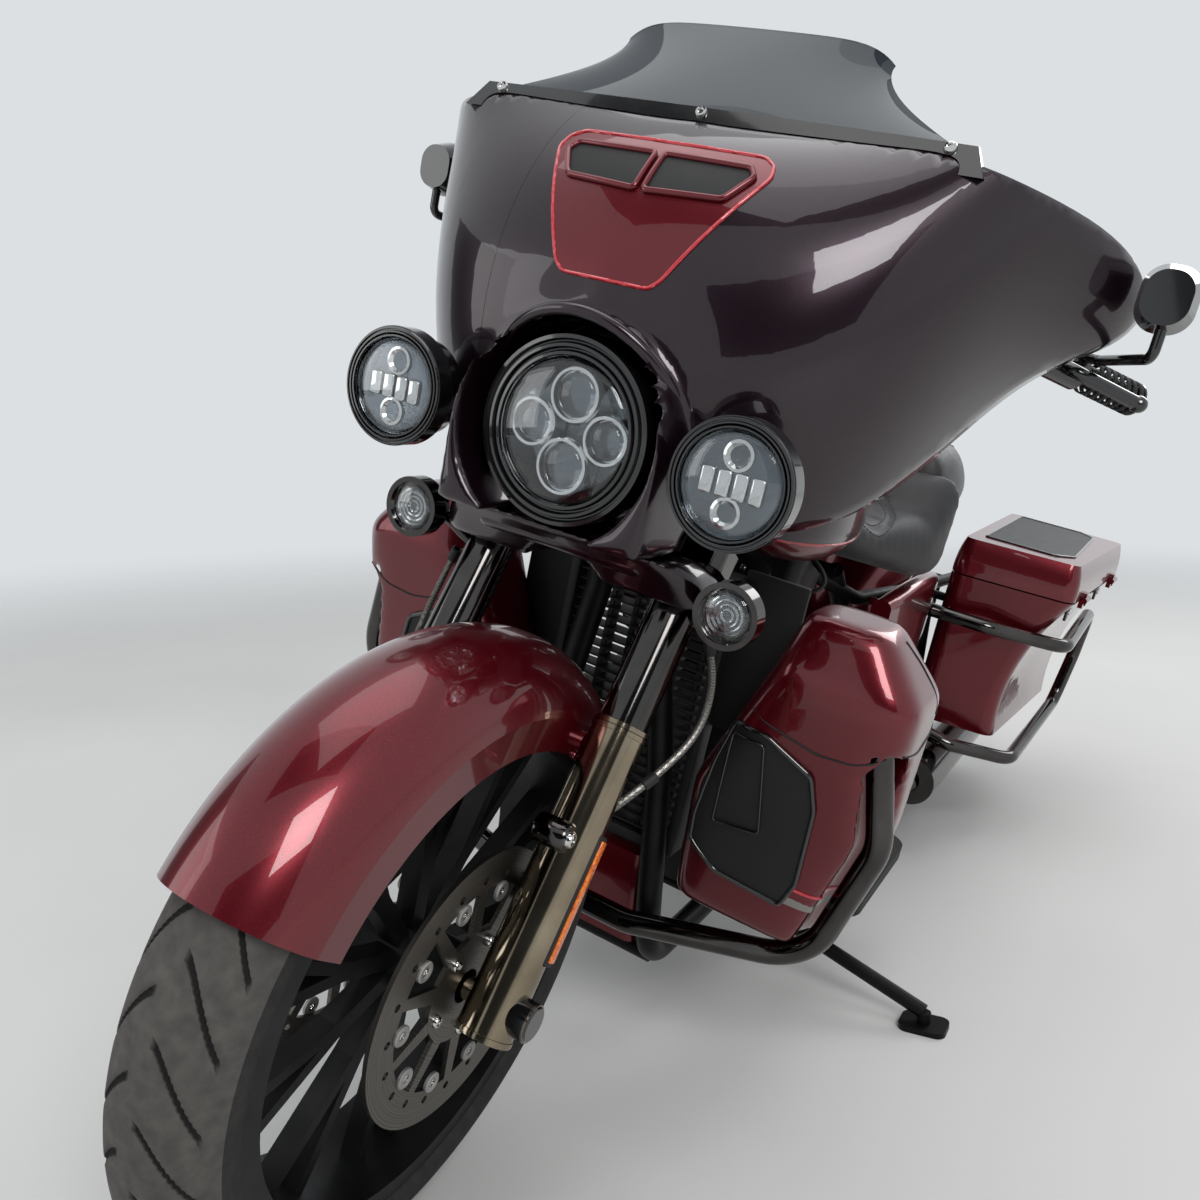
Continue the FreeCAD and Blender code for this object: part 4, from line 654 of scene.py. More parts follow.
class CRUISER_OT_fairing(bpy.types.Operator):
    """The fairing's shell, skirt, vent panel, screen with its screws, gauges and speakers."""

    bl_idname = "cruiser.fairing"
    bl_label = "Fairing trim"

    def execute(self, context):
        shell = skin_of_piece(softened("fairing_shell", "fairing_outer", 5, 12, 140))
        softened("fork_skirt", "nacelle_skirt", 4, 8)
        apron = bmesh.new()
        box(apron, (216, 58, 34), Matrix.Translation(at(1448, 0, 786)), 14, 5)
        piece("lamp_apron", apron, "dark_paint", BODY_OF["fairing_outer"])
        body = BODY_OF["fairing_outer"]
        back = -AHEAD
        outline = [(-121, 1176), (-117, 1189), (-103, 1197), (103, 1197), (117, 1189), (121, 1176),
                   (60, 1062), (49, 1053), (-49, 1053), (-60, 1062)]
        bm = bmesh.new()
        patch(bm, shell, [at(1620, left, up) for left, up in outline], back, 1.0, 7, 1.4)
        piece("vent_panel", bm, "cherry_paint", body, 60)
        stripe("vent_pinstripe", shell, loop(*outline, forward=1620), back, body, closed=True, lift=0.8)
        # the vent openings are dark sheets laid over the unbroken shell: partly the black vent insert, partly
        # painted shade inside the openings
        slot_shade = bmesh.new()
        lips = bmesh.new()
        for side in (1, -1):
            corners = [(left * side, up) for left, up in
                       ((5, 1182), (98, 1182), (106, 1173), (88, 1147), (5, 1143))]
            patch(slot_shade, shell, [at(1620, left, up) for left, up in corners], back, 2.6, 6, 1.0)
            edge = line_on(shell, loop(*corners, forward=1620), back, 3.2, 9)[:-1]
            sweep(lips, edge, 3.4, closed=True, sides=2)
        piece("vent_slot_shade", slot_shade, "matte_black", body, 60)
        piece("vent_slot_lips", lips, "cherry_paint", body, 60)
        sheet = bmesh.new()
        bmesh.ops.create_grid(sheet, x_segments=64, y_segments=28, size=1)
        for vert in sheet.verts:
            across, rise = vert.co.x, (vert.co.y + 1) / 2
            half = 160 + 132 * (1 - rise) ** 1.7 - 10 * math.sin(math.pi * rise)
            sag = 12 + 14 * math.sin(math.pi * rise)
            vert.co = at(1349 - 84 * rise ** 1.15 - sag * across ** 2, across * half,
                         1229 + 115 * rise - 20 * abs(across) ** 7 * rise ** 2)
        bmesh.ops.recalc_face_normals(sheet, faces=sheet.faces)
        bmesh.ops.solidify(sheet, geom=sheet.faces[:], thickness=4)
        screen = piece("screen_sheet", sheet, "smoked_screen", body, 50)
        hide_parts("windshield")
        band = skin_of("windshield_trim")
        bm = bmesh.new()
        for left in (-262, 0, 262):
            place = landed(band, at(1500, left, 1238), back, 0.4)
            bolt(bm, place, AHEAD * 0.8 + UP * 0.3, 6.5, 4)
        piece("screen_screws", bm, "bright_chrome", body)
        inner = skin_of("fairing_inner")
        rims, dials, meshes = bmesh.new(), bmesh.new(), bmesh.new()
        for left, radius in ((-150, 24), (-62, 29), (62, 29), (150, 24)):
            place = landed(inner, at(1000, left, 1182), AHEAD, 0.3)
            turn = frame_on(place, -AHEAD)
            lathe(rims, [(radius - 3, 0), (radius - 3, 3), (radius, 4.5), (radius + 2, 3), (radius + 2, -2),
                         (radius - 3, -2), (radius - 3, 0)], turn, 36)
            lathe(dials, [(0, 1.0), (radius - 3.2, 1.0), (radius - 3.2, -1), (0, -1)], turn, 36)
            lathe(rims, [(radius - 8, 0.9), (radius - 8, 1.4), (radius - 7, 1.4), (radius - 7, 0.9),
                         (radius - 8, 0.9)], turn, 36)
        for left in (-270, 270):
            place = landed(inner, at(1000, left, 1120), AHEAD, 0.3)
            turn = frame_on(place, -AHEAD)
            for radius in range(12, 60, 8):
                lathe(meshes, [(radius - 2, 0), (radius, 2.6), (radius + 2, 0), (radius - 2, 0)], turn, 40)
        piece("gauge_rims", rims, "bright_chrome", body)
        piece("gauge_dials", dials, "gauge_face", body)
        piece("speaker_rings", meshes, "matte_black", body)
        return {"FINISHED"}


def lamp_bowl(bm_rings, bm_bowl, bm_glass, centre, radius, depth, bulge):
    """Stepped bezel rings, a reflector bowl and a clear domed glass on an axis that looks ahead."""
    turn = frame_on(centre, AHEAD)
    lathe(bm_rings, [
        (radius, -depth * 0.5), (radius, -2), (radius - 2, 5), (radius - 6, 6), (radius - 8, 2),
        (radius - 9, 2), (radius - 11, 6), (radius - 14, 6.5), (radius - 16, 1.5), (radius - 17, 1.5),
        (radius - 19, 5.5), (radius - 22, 6), (radius - 24, 0), (radius - 24, -depth * 0.5),
        (radius, -depth * 0.5),
    ], turn, 64)
    bowl = radius - 24
    lathe(bm_bowl, [(bowl, -1), (bowl * 0.96, -depth * 0.20), (bowl * 0.80, -depth * 0.36),
                    (0, -depth * 0.42), (0, -depth * 0.42 - 2), (bowl * 0.82, -depth * 0.36 - 2), (bowl + 1, -depth * 0.2),
                    (bowl + 1, -1), (bowl, -1)], turn, 64)
    lathe(bm_glass, dome(bowl + 1.5, bulge, 2.5), frame_on(centre + AHEAD * 1.0, AHEAD), 64)


def projector(bm_rim, bm_lens, place, radius, depth):
    """A lamp's projector: a turned ring with a clear ball lens."""
    turn = frame_on(place, AHEAD)
    lathe(bm_rim, [(radius, -depth), (radius, 0), (radius - 2, 2.5), (radius - 5, 2.5), (radius - 7, -2),
                   (radius - 7, -depth), (radius, -depth)], turn, 40)
    ring = [(radius - 7) * math.sin(math.radians(10 * i)) for i in range(10)]
    rise = [9 * math.cos(math.radians(10 * i)) - 4 for i in range(10)]
    lathe(bm_lens, list(zip(ring, rise)) + [(radius - 7, -depth * 0.8), (0, -depth * 0.8)], turn, 40)


class CRUISER_OT_lamps(bpy.types.Operator):
    """Headlamp with its hood, extra lamps and turn signals, with their glass and reflectors."""

    bl_idname = "cruiser.lamps"
    bl_label = "Lamps"

    def execute(self, context):
        body = BODY_OF["headlamp"]
        rings, bowl, glass, rims, lenses = (bmesh.new() for _ in range(5))
        centre = HEADLAMP
        lamp_bowl(rings, bowl, glass, centre, LAMP_RADIUS, 88, 13)
        # the bowl's back closes the shell
        lathe(rings, [(98, -44), (82, -62), (41, -88), (0, -88), (0, -84), (40, -84), (80, -60), (92, -44),
                      (98, -44)], frame_on(centre, AHEAD), 64)
        liner = bmesh.new()
        lathe(liner, [(112.6, -100), (112.6, 60), (110.6, 60), (110.6, -100), (112.6, -100)],
              frame_on(centre, AHEAD), 72)
        slant = math.radians(32)
        cut = bmesh.ops.bisect_plane(
            liner, geom=liner.verts[:] + liner.edges[:] + liner.faces[:], plane_co=at(1522, 0, 1034),
            plane_no=AHEAD * math.cos(slant) - UP * math.sin(slant), clear_outer=True)
        rim = [item for item in cut["geom_cut"] if isinstance(item, bmesh.types.BMEdge)]
        bmesh.ops.bridge_loops(liner, edges=rim)
        piece("hood_liner", liner, "gloss_black", body)
        lip = bmesh.new()
        places = []
        for index in range(60):
            angle = math.tau * index / 60
            up = 901 + 119.5 * math.sin(angle)
            places.append(at(1533 - (1034 - up) * math.tan(slant), 119.5 * math.cos(angle), up))
        sweep(lip, places, 6.5, closed=True, sides=4)
        piece("hood_lip", lip, "dark_paint", body)
        for left, up, radius in ((0, 37, 30), (0, -37, 31), (44, 0, 27), (-44, 0, 27)):
            projector(rims, lenses, centre + at(-10, left, up), radius, 22)
        shell = piece("headlamp_rings", rings, "gloss_black", body)
        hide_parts("headlamp")
        aux, aux_bar = bmesh.new(), bmesh.new()
        for side in (1, -1):
            place = at(1528, 199 * side, 901)
            turn = frame_on(place, AHEAD)
            for step in (0, 1, 2):
                radius = 62.6 - step * 4
                lathe(aux, [(radius, 7.0), (radius - 1.2, 10.2), (radius - 2.8, 10.2),
                                         (radius - 3.6, 7.0), (radius, 7.0)], turn, 56)
            lathe(bowl, [(50.4, 0.6), (50.4, 5), (47, 1.6), (30, 1.0), (0, 0.8), (0, 0.4), (50.4, 0.4)],
                  turn, 56)
            lathe(glass, dome(50.6, 8.5, 2), frame_on(place + AHEAD * 3.2, AHEAD), 56)
            for index in (-1.5, -0.5, 0.5, 1.5):
                box(aux_bar, (14, 6, 26), Matrix.Translation(place + at(2.5, index * 17, -1)), 2.8, 3)
            for up in (27, -27):
                lathe(rims, [(15, 0.6), (15, 3.4), (12, 4.2), (9, 1.2), (9, 0.6), (15, 0.6)],
                      frame_on(place + at(0, 0, up), AHEAD), 32)
            place = at(1461, 201 * side, 762)
            turn = frame_on(place, AHEAD)
            for radius in (6, 11, 16, 21):
                lathe(rims, [(radius - 2, 0.4), (radius, 3.6), (radius + 2, 0.4), (radius - 2, 0.4)],
                      turn, 36)
            lathe(bowl, [(0, 0.9), (23, 0.9), (23, 0.2), (0, 0.2)], turn, 36)
            lathe(glass, dome(28.5, 9, 2), frame_on(place + AHEAD * 1.5, AHEAD), 40)
        for name, bm, material in (
            ("extra_lamp_rings", aux, "gloss_black"),
            ("lamp_reflectors", bowl, "reflector"),
            ("projector_rims", rims, "bright_chrome"),
            ("projector_lenses", lenses, "lamp_lens"),
            ("reflector_bars", aux_bar, "bright_chrome"),
            ("lamp_glasses", glass, "lamp_lens"),
        ):
            piece(name, bm, material, body)
        return {"FINISHED"}


class CRUISER_OT_fork(bpy.types.Operator):
    """Side reflectors, axle caps, fender bosses, collars and brake lines of the fork."""

    bl_idname = "cruiser.fork"
    bl_label = "Fork trim"

    def execute(self, context):
        body = BODY_OF["fork_sliders"]
        turn = Matrix.Rotation(-FORK_RAKE, 4, "X")
        amber, backs, caps, collars, bosses, lines, ends = (bmesh.new() for _ in range(7))
        for side in (1, -1):
            centre = fork_point(124, 150.5 * side, -6)
            box(backs, (6, 20, 142), Matrix.Translation(centre) @ turn, 2.2, 3)
            face = centre + LEFT * 3.4 * side + turn @ Vector((0, 1.5, 0))
            box(amber, (4, 12, 132), Matrix.Translation(face) @ turn, 1.6, 3)
            way = LEFT * side
            lathe(caps, [(0, 168), (17, 168), (20.5, 164), (20.5, 146), (0, 146)],
                  frame_on(FRONT_AXLE, way), 40)
            axis = turn @ UP
            for along, radius in ((306, 31.2), (300, 31.0), (-30, 31.0)):
                lathe(collars, [(radius, -2.5), (radius, 2.5), (radius - 1.8, 3.2), (radius - 1.8, -3.2),
                                (radius, -2.5)], frame_on(fork_point(along, 122 * side), axis), 40)
            boss = fork_point(178, 0, 34)
            lathe(bosses, [(0, 97), (15, 97), (16, 100), (16, 131), (14, 134), (0, 134)],
                  frame_on(boss, way), 32)
            bolt(ends, boss + way * 133, way, 9, 6)
            eyelet_ring(ends, fork_point(196, 0, -52) + way * 111, way, 26, 2, 6, 5, 0.6)
            line = [fork_point(470, 118 * side, -34), at(1408, 168 * side, 716), at(1404, 186 * side, 668),
                    at(1424, 190 * side, 616), at(1468, 172 * side, 574), at(1506, 150 * side, 540),
                    at(1524, 128 * side, 512), fork_point(168, 100 * side, -44)]
            sweep(lines, line, 4.2, sides=3)
            for index in (1, 4):
                way_on = (line[index + 1] - line[index]).normalized()
                lathe(backs, [(4.4, -9), (6.2, -8), (6.2, 8), (4.4, 9), (4.4, -9)],
                      frame_on(line[index].lerp(line[index + 1], 0.2), way_on), 16)
        for name, bm, material in (
            ("fork_reflectors", amber, "amber_lens"),
            ("fork_fittings", backs, "matte_black"),
            ("axle_caps", caps, "gloss_black"),
            ("fork_collars", collars, "bronze_chrome"),
            ("fender_bosses", bosses, "dark_chrome"),
            ("fork_bolts", ends, "bright_chrome"),
            ("brake_lines", lines, "braided_hose"),
        ):
            piece(name, bm, material, body)
        fender = skin_of("front_fender")
        bm = bmesh.new()
        for side in (1, -1):
            for back_mm, up in ((40, 0), (72, 22), (188, 10), (222, 30)):
                place = landed(fender, at(1625 - back_mm + 60, 200 * side, 560 + up), -LEFT * side, 0.2)
                if place is not None:
                    bolt(bm, place, LEFT * side, 5.5, 4)
        piece("fender_bolts", bm, "cherry_paint", body)
        return {"FINISHED"}


def treaded_tyre(name, node, axle, sizes, blocks, material):
    """A tyre turned from its section, with swept sipes cut into the crown."""
    radius, crown, half, bead, bead_half = sizes
    limit = math.asin(half / crown)
    arc = [(radius - crown + crown * math.cos(limit * step / 22), crown * math.sin(limit * step / 22))
           for step in range(-22, 23)]
    shoulder = arc[-1][0]
    wall = [((shoulder * 2 + bead) / 3, half - 0.5),
            ((shoulder + bead * 2) / 3, (half * 1.5 + bead_half) / 2.5)]
    section = [(bead, -bead_half)] + [(r, -h) for r, h in reversed(wall)] + arc + wall + [(bead, bead_half),
                                                                                          (bead, -bead_half)]
    bm = bmesh.new()
    lathe(bm, section, frame_on(axle, LEFT), 1080)
    for vert in bm.verts:
        spot = vert.co - axle
        side = abs(spot.x) / half
        if not 0.1 < side < 0.86:
            continue
        phase = (math.atan2(spot.y, spot.z) * blocks / math.tau + 1.5 * side ** 1.6
                 + math.copysign(0.25, spot.x))
        edge = min(1, max(0, (0.085 - abs(phase - round(phase))) / 0.055))
        ends = min(1, (side - 0.1) / 0.05, (0.86 - side) / 0.05)
        out = Vector((0, spot.y, spot.z)).normalized()
        vert.co -= out * TREAD_DEPTH_MM * edge * max(0, ends)
    tyre = piece(name, bm, material, BODY_OF[node], 50)
    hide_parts(node)


class CRUISER_OT_wheels(bpy.types.Operator):
    """Treaded tyres and bolts of both wheels, and the front discs' bobbins and valve stem."""

    bl_idname = "cruiser.wheels"
    bl_label = "Wheel fittings"

    def execute(self, context):
        treaded_tyre("front_tread", "front_tyre", FRONT_AXLE, (344.6, 66, 64, 266, 50), 30, "tyre_rubber")
        treaded_tyre("rear_tread", "rear_tyre", REAR_AXLE, (328, 95, 90, 229, 72), 24, "rear_rubber")
        eyes, bolts = bmesh.new(), bmesh.new()
        for side in (1, -1):
            way = LEFT * side
            face = FRONT_AXLE + way * 82.6
            turn = frame_on(face, way)
            for index in range(10):
                angle = math.tau * (index + 0.5) / 10
                spot = turn @ Vector((104 * math.cos(angle), 104 * math.sin(angle), 0))
                lathe(eyes, [(4.5, -1), (4.5, 2.4), (6, 3.2), (9.5, 3.2), (11, 2), (11, -1), (4.5, -1)],
                      frame_on(spot, way), 20)
                bolt(bolts, spot - way * 0.8, way, 4.4, 3)
            eyelet_ring(bolts, FRONT_AXLE + way * 83, way, 50, 5, 6.5, 5)
        piece("front_disc_bobbins", eyes, "bare_alloy", "front_wheel")
        valve = bmesh.new()
        sweep(valve, [FRONT_AXLE + Vector((18, 0, 236)), FRONT_AXLE + Vector((30, 0, 212)),
                      FRONT_AXLE + Vector((34, 0, 196))], 3.4, sides=3)
        piece("front_valve", valve, "matte_black", "front_wheel")
        piece("front_wheel_bolts", bolts, "bright_chrome", "front_wheel")
        bolts = bmesh.new()
        eyelet_ring(bolts, REAR_AXLE - LEFT * 115, -LEFT, 48, 5, 6.5, 5)
        eyelet_ring(bolts, REAR_AXLE + LEFT * 131.5, LEFT, 46, 5, 6.5, 5)
        piece("rear_wheel_bolts", bolts, "bright_chrome", "rear_wheel")
        return {"FINISHED"}


def cut_off(bm, left_mm, outwards):
    """Clears a mesh beyond a plane at a left distance, outwards or inwards."""
    way = STANCE.to_3x3() @ LEFT * math.copysign(1, left_mm)
    bmesh.ops.bisect_plane(bm, geom=bm.verts[:] + bm.edges[:] + bm.faces[:],
                           plane_co=TO_ROW @ at(0, left_mm, 0), plane_no=way, clear_outer=outwards, clear_inner=not outwards)


def welded(node):
    """A CAD node's mesh with its doubled points joined."""
    bm = bmesh.new()
    bm.from_mesh(frame["nodes"][node].data)
    bmesh.ops.remove_doubles(bm, verts=bm.verts, dist=0.00005)
    return bm


def remeshed(name, node, voxel_mm):
    """A copy of a CAD node in even voxel faces, with its finish."""
    bm = welded(node)
    bmesh.ops.recalc_face_normals(bm, faces=bm.faces)
    obj = made_of(name, bm, MATERIALS[NODE_FINISH[node]])
    voxels = obj.modifiers.new("voxels", "REMESH")
    voxels.mode = "VOXEL"
    voxels.voxel_size = voxel_mm / 1000
    apply_modifiers(obj)
    return obj


def softened(name, node, voxel_mm, rounds, middle_mm=None):
    """A moulded cover made from a plain CAD solid: remeshed, with its edges rounded by smoothing.

    With middle_mm only the middle is rounded, and the wings beyond it keep their crisp edges."""
    obj = remeshed(name, node, voxel_mm)
    relax(obj, rounds)
    if middle_mm:
        whole = bmesh.new()
        whole.from_mesh(obj.data)
        for edge in (middle_mm + 0.5, -middle_mm - 0.5):
            cut_off(whole, edge, True)
        for edge in (middle_mm, -middle_mm):
            wing = welded(node)
            cut_off(wing, edge, False)
            part = bpy.data.meshes.new("wing")
            wing.to_mesh(part)
            wing.free()
            whole.from_mesh(part)
            bpy.data.meshes.remove(part)
        whole.to_mesh(obj.data)
        whole.free()
    shade_smooth(obj.data)
    obj.data.set_sharp_from_angle(angle=math.radians(38))
    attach(obj, BODY_OF[node])
    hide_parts(node)
    return obj


class CRUISER_OT_bodywork(bpy.types.Operator):
    """Tank stripe, lower fairings with vents and seams, guard sleeves, bag insets and latches."""

    bl_idname = "cruiser.bodywork"
    bl_label = "Bodywork trim"

    def execute(self, context):
        tank = skin_of("fuel_tank")
        lowers = skin_of_piece(softened("lower_fairings", "lowers", 5, 34))
        own = looks()
        stripes, greys, vents, ribs, seams = (bmesh.new() for _ in range(5))
        for side in (1, -1):
            places = line_on(tank, side_loop((1174, 786), (1100, 780), (980, 778), (860, 776), (730, 784),
                                             left=420 * side), -LEFT * side, 0.2)
            sweep(stripes, places, own.stripe_width / 2, sides=1)
            for up, width, target in ((412, own.stripe_width, stripes), (396, 15, greys)):
                centre = at(1205, 240 * side, up)
                places = around(lowers, centre, 420, [side * angle for angle in range(-24, 122, 4)], 0.2)
                if target is stripes:
                    sweep(target, places, width / 2, sides=1)
                else:
                    ribbon(target, places, width, 0.7)
            corners = [(190, 598), (232, 600), (292, 571), (304, 528), (302, 422), (288, 384), (200, 392),
                       (160, 420), (160, 458), (174, 540)]
            patch(vents, lowers, [at(1500, left * side, up) for left, up in corners], -AHEAD, 2.4, 8, 2.0)
            border = loop(*[(left * side, up) for left, up in corners], forward=1500)
            outline = line_on(lowers, border, -AHEAD, 2.6, 12)[:-1]
            sweep(ribs, outline, 3.2, closed=True, sides=2)
            flap = loop(*[(left * side, up) for left, up in
                          ((192, 586), (232, 588), (246, 470), (186, 462))], forward=1500)
            sweep(ribs, line_on(lowers, flap, -AHEAD, 4.6, 12)[:-1], 1.6, closed=True, sides=2)
            seam = line_on(lowers, [at(1500, left * side, up) for left, up in
                                    ((176, 640), (220, 616), (293, 600), (334, 604), (372, 622))],
                           -AHEAD, 0.1)
            sweep(seams, seam, 1.3, sides=2)
            for places, width in ((((1296, 628), (1250, 622), (1200, 634), (1172, 660)), 1.3),
                                  (((1246, 740), (1226, 716), (1206, 660)), 1.2)):
                seam = line_on(lowers, side_loop(*places, left=520 * side), -LEFT * side, 0.1)
                sweep(seams, seam, width, sides=2)
        sleeves = bmesh.new()
        for side in (1, -1):
            run = (at(1262, 380 * side, 500) - at(1290, 344 * side, 660)).normalized()
            for along in (-4, 26):
                lathe(sleeves, [(16.4, -6), (24, -5), (27, 0), (24, 5), (16.4, 6), (16.4, -6)],
                      frame_on(at(1290, 344 * side, 660) + run * along, run), 32)
        piece("guard_sleeves", sleeves, "board_rubber", "chassis")
        for name, bm, material in (
            ("pinstripes", stripes, "pinstripe_enamel"),
            ("grey_bands", greys, "band_enamel"),
            ("lower_vent_panels", vents, "matte_black"),
            ("lower_vent_edges", ribs, "gloss_black"),
            ("lower_seams", seams, "matte_black"),
        ):
            piece(name, bm, material, "chassis", 60)
        bags = skin_of("saddlebags")
        trim, metal = bmesh.new(), bmesh.new()
        for side, name in ((1, "lid_left"), (-1, "lid_right")):
            lid = skin_of(name)
            inset, piping = bmesh.new(), bmesh.new()
            corners = [(110, 232), (110, 372), (60, 404), (-330, 404), (-374, 372), (-374, 232)]
            places = [at(forward, left * side, 900) for forward, left in corners]
            patch(inset, lid, places, -UP, 1.2, 12, 1.6)
            sweep(piping, line_on(lid, places + places[:1], -UP, 1.4, 16)[:-1], 2.4, closed=True, sides=2)
            piece(name + "_inset", inset, "matte_black", name, 60)
            piece(name + "_piping", piping, "gloss_black", name, 60)
            way = -LEFT * side
            for forward in (60, -290):
                place = landed(bags, at(forward, 620 * side, 606), way, 1.5)
                if place is not None:
                    box(trim, (6, 54, 30), Matrix.Translation(place), 2.2, 3)
                    box(metal, (6, 34, 12), Matrix.Translation(place + LEFT * side * 4 + UP * 4), 2.0, 3)
        piece("bag_latches", trim, "gloss_black", "chassis")
        piece("bag_latch_levers", metal, "bright_chrome", "chassis")
        return {"FINISHED"}


def ribbon(bm, places, width, thickness):
    """A flat painted band: short boxes from place to place, upright."""
    for first, last in zip(places, places[1:]):
        way = last - first
        length = way.length
        if length < 0.5:
            continue
        heading = math.atan2(way.y, way.x)
        turn = Matrix.Rotation(heading, 4, "Z") @ Matrix.Rotation(-math.asin(way.z / length), 4, "Y")
        box(bm, (length + 1.0, thickness, width), Matrix.Translation(first.lerp(last, 0.5)) @ turn)


class CRUISER_OT_engine(bpy.types.Operator):
    """Covers, bolts, pushrod tubes and plug leads of the engine, and the oil cooler."""

    bl_idname = "cruiser.engine"
    bl_label = "Engine trim"

    def execute(self, context):
        body = BODY_OF["crankcase"]
        covers, bolts, tubes, leads = (bmesh.new() for _ in range(4))
        face = at(672, 158, 352)
        lathe(covers, [(0, 8), (58, 8), (66, 5), (70, 1), (70, -4), (0, -4)], frame_on(face, LEFT), 56)
        lathe(covers, [(0, 5), (26, 5), (31, 2), (31, -4), (0, -4)], frame_on(at(866, 158, 340), LEFT), 40)
        eyelet_ring(bolts, face + LEFT * 6, LEFT, 60, 5, 4, 3)
        eyelet_ring(bolts, at(866, 162, 340), LEFT, 24, 4, 3, 3)
        for forward, up in ((600, 262), (660, 248), (740, 248), (820, 248), (900, 252), (962, 286),
                            (984, 350), (962, 420), (900, 462), (820, 468), (740, 468), (660, 468), (600, 452)):
            bolt(bolts, at(forward, 157.6, up), LEFT, 5, 4)
        crank = at(872, 0, 362)
        for lean in (22.5, -22.5):
            way = Vector((0, -math.sin(math.radians(lean)), math.cos(math.radians(lean))))
            across = Vector((0, way.z, -way.y))
            for offset in (-17, 17):
                foot = crank - LEFT * 90 + way * 112 + across * offset
                top = crank - LEFT * 86 + way * 312 + across * offset * 1.3
                sweep(tubes, [foot, top], 8.5, sides=4, smooth=False)
                for place in (foot + way * 8, top - way * 8):
                    lathe(tubes, [(8.5, -7), (12, -6), (12, 6), (8.5, 7), (8.5, -7)],
                          frame_on(place, way), 24)
            for left in (-34, 34):
                for offset in (-40, 40):
                    bolt(bolts, crank + LEFT * left + way * 345 + across * offset, way, 5.5, 5)
            plug = crank + LEFT * 60 + way * 296
            lead = [plug + LEFT * left + way * up for left, up in ((0, 0), (34, 8), (44, 40), (8, 62))]
            sweep(leads, lead, 3.6, sides=3)
        cooler = bmesh.new()
        for left in (-112, 112):
            box(cooler, (14, 36, 390), Matrix.Translation(at(1192, left, 540)), 3, 2)
        for up in (350, 730):
            box(cooler, (232, 36, 16), Matrix.Translation(at(1192, 0, up)), 3, 2)
        for index in range(26):
            box(cooler, (216, 28, 2.4), Matrix.Translation(at(1190, 0, 364 + index * 14)), 0.8, 1)
        for left in range(-90, 91, 36):
            box(cooler, (9, 22, 372), Matrix.Translation(at(1184, left, 540)), 2, 1)
        for left in (-158, 158):
            box(cooler, (84, 8, 216), Matrix.Translation(at(1178, left, 640)), 3, 2)
        piece("oil_cooler", cooler, "matte_black", body)
        eyelet_ring(bolts, at(880, -124, 380), -LEFT, 80, 8, 5, 4)
        cleaner = at(870, -170, 610)
        lathe(covers, [(0, 3), (40, 3), (44, 1), (44, -3), (0, -3)], frame_on(cleaner, -LEFT), 48)
        eyelet_ring(bolts, cleaner - LEFT * 1.5, -LEFT, 54, 5, 4, 3)
        piece("engine_cover_caps", covers, "gloss_black", body)
        piece("engine_bolts", bolts, "bright_chrome", body)
        piece("pushrod_tubes", tubes, "dark_chrome", body)
        piece("plug_leads", leads, "matte_black", body)
        return {"FINISHED"}


class CRUISER_OT_controls(bpy.types.Operator):
    """Grip ribs and caps, switch buttons and mirror glass."""

    bl_idname = "cruiser.controls"
    bl_label = "Controls"

    def execute(self, context):
        body = BODY_OF["hand_controls"]
        ribs, caps, buttons, glass = (bmesh.new() for _ in range(4))
        mirror = skin_of("mirrors")
        for side in (1, -1):
            elbow, end = at(1120, 330 * side, 1084), at(980, 455 * side, 1050)
            way = (end - elbow).normalized()
            for index in range(7):
                lathe(ribs, [(19, -3.6), (20.6, -2.6), (20.6, 2.6), (19, 3.6), (19, -3.6)],
                      frame_on(end + way * (6 - index * 11.5), way), 28)
            lathe(caps, [(0, 3), (15, 3), (20.4, 0), (20.4, -3), (0, -3)], frame_on(end + way * 14, way), 32)
            for index, lift in ((98, 20), (112, 20), (124, 19)):
                box(buttons, (10, 7, 7), frame_on(end - way * index + Vector((0, 9, lift)), UP), 1.8, 2)
            corners = [(454, 1130), (462, 1124), (494, 1124), (500, 1132), (500, 1176), (492, 1184),
                       (460, 1184), (452, 1176)]
            patch(glass, mirror, [at(1040, left * side, up) for left, up in corners], AHEAD, 0.8, 8, 0.8)
        piece("grip_ribs", ribs, "board_rubber", body)
        piece("grip_caps", caps, "dark_chrome", body)
        piece("switch_buttons", buttons, "matte_black", body)
        piece("mirror_glass", glass, "mirror_silver", body)
        return {"FINISHED"}


def swollen(name, node, cap_mm):
    """A padded cover grown from a CAD pad: remeshed, blown up a little as cloth, then smoothed."""
    obj = remeshed(name, node, 8)
    start = [vert.co.copy() for vert in obj.data.vertices]
    cloth = obj.modifiers.new("cloth", "CLOTH")
    cloth.settings.use_pressure = True
    cloth.settings.uniform_pressure_force = looks().seat_swell
    cloth.settings.effector_weights.gravity = 0
    cloth.settings.quality = 5
    scene = bpy.context.scene
    for step in range(1, CLOTH_STEPS + 1):
        scene.frame_set(step)
    apply_modifiers(obj)
    scene.frame_set(1)
    for vert, home in zip(obj.data.vertices, start):
        move = vert.co - home
        if move.length > cap_mm / 1000:
            vert.co = home + move.normalized() * cap_mm / 1000
    relax(obj, 14)
    return obj


def apply_modifiers(obj):
    """Bakes an object's modifiers into its mesh."""
    graph = bpy.context.evaluated_depsgraph_get()
    graph.update()
    mesh = bpy.data.meshes.new_from_object(obj.evaluated_get(graph))
    old = obj.data
    obj.modifiers.clear()
    obj.data = mesh
    bpy.data.meshes.remove(old)


def relax(obj, rounds):
    """Evens out a mesh, which rounds its edges and takes out small creases."""
    bm = bmesh.new()
    bm.from_mesh(obj.data)
    for step in range(rounds):
        bmesh.ops.smooth_vert(bm, verts=bm.verts, factor=0.5, use_axis_x=True, use_axis_y=True,
                              use_axis_z=True)
    bm.to_mesh(obj.data)
    bm.free()


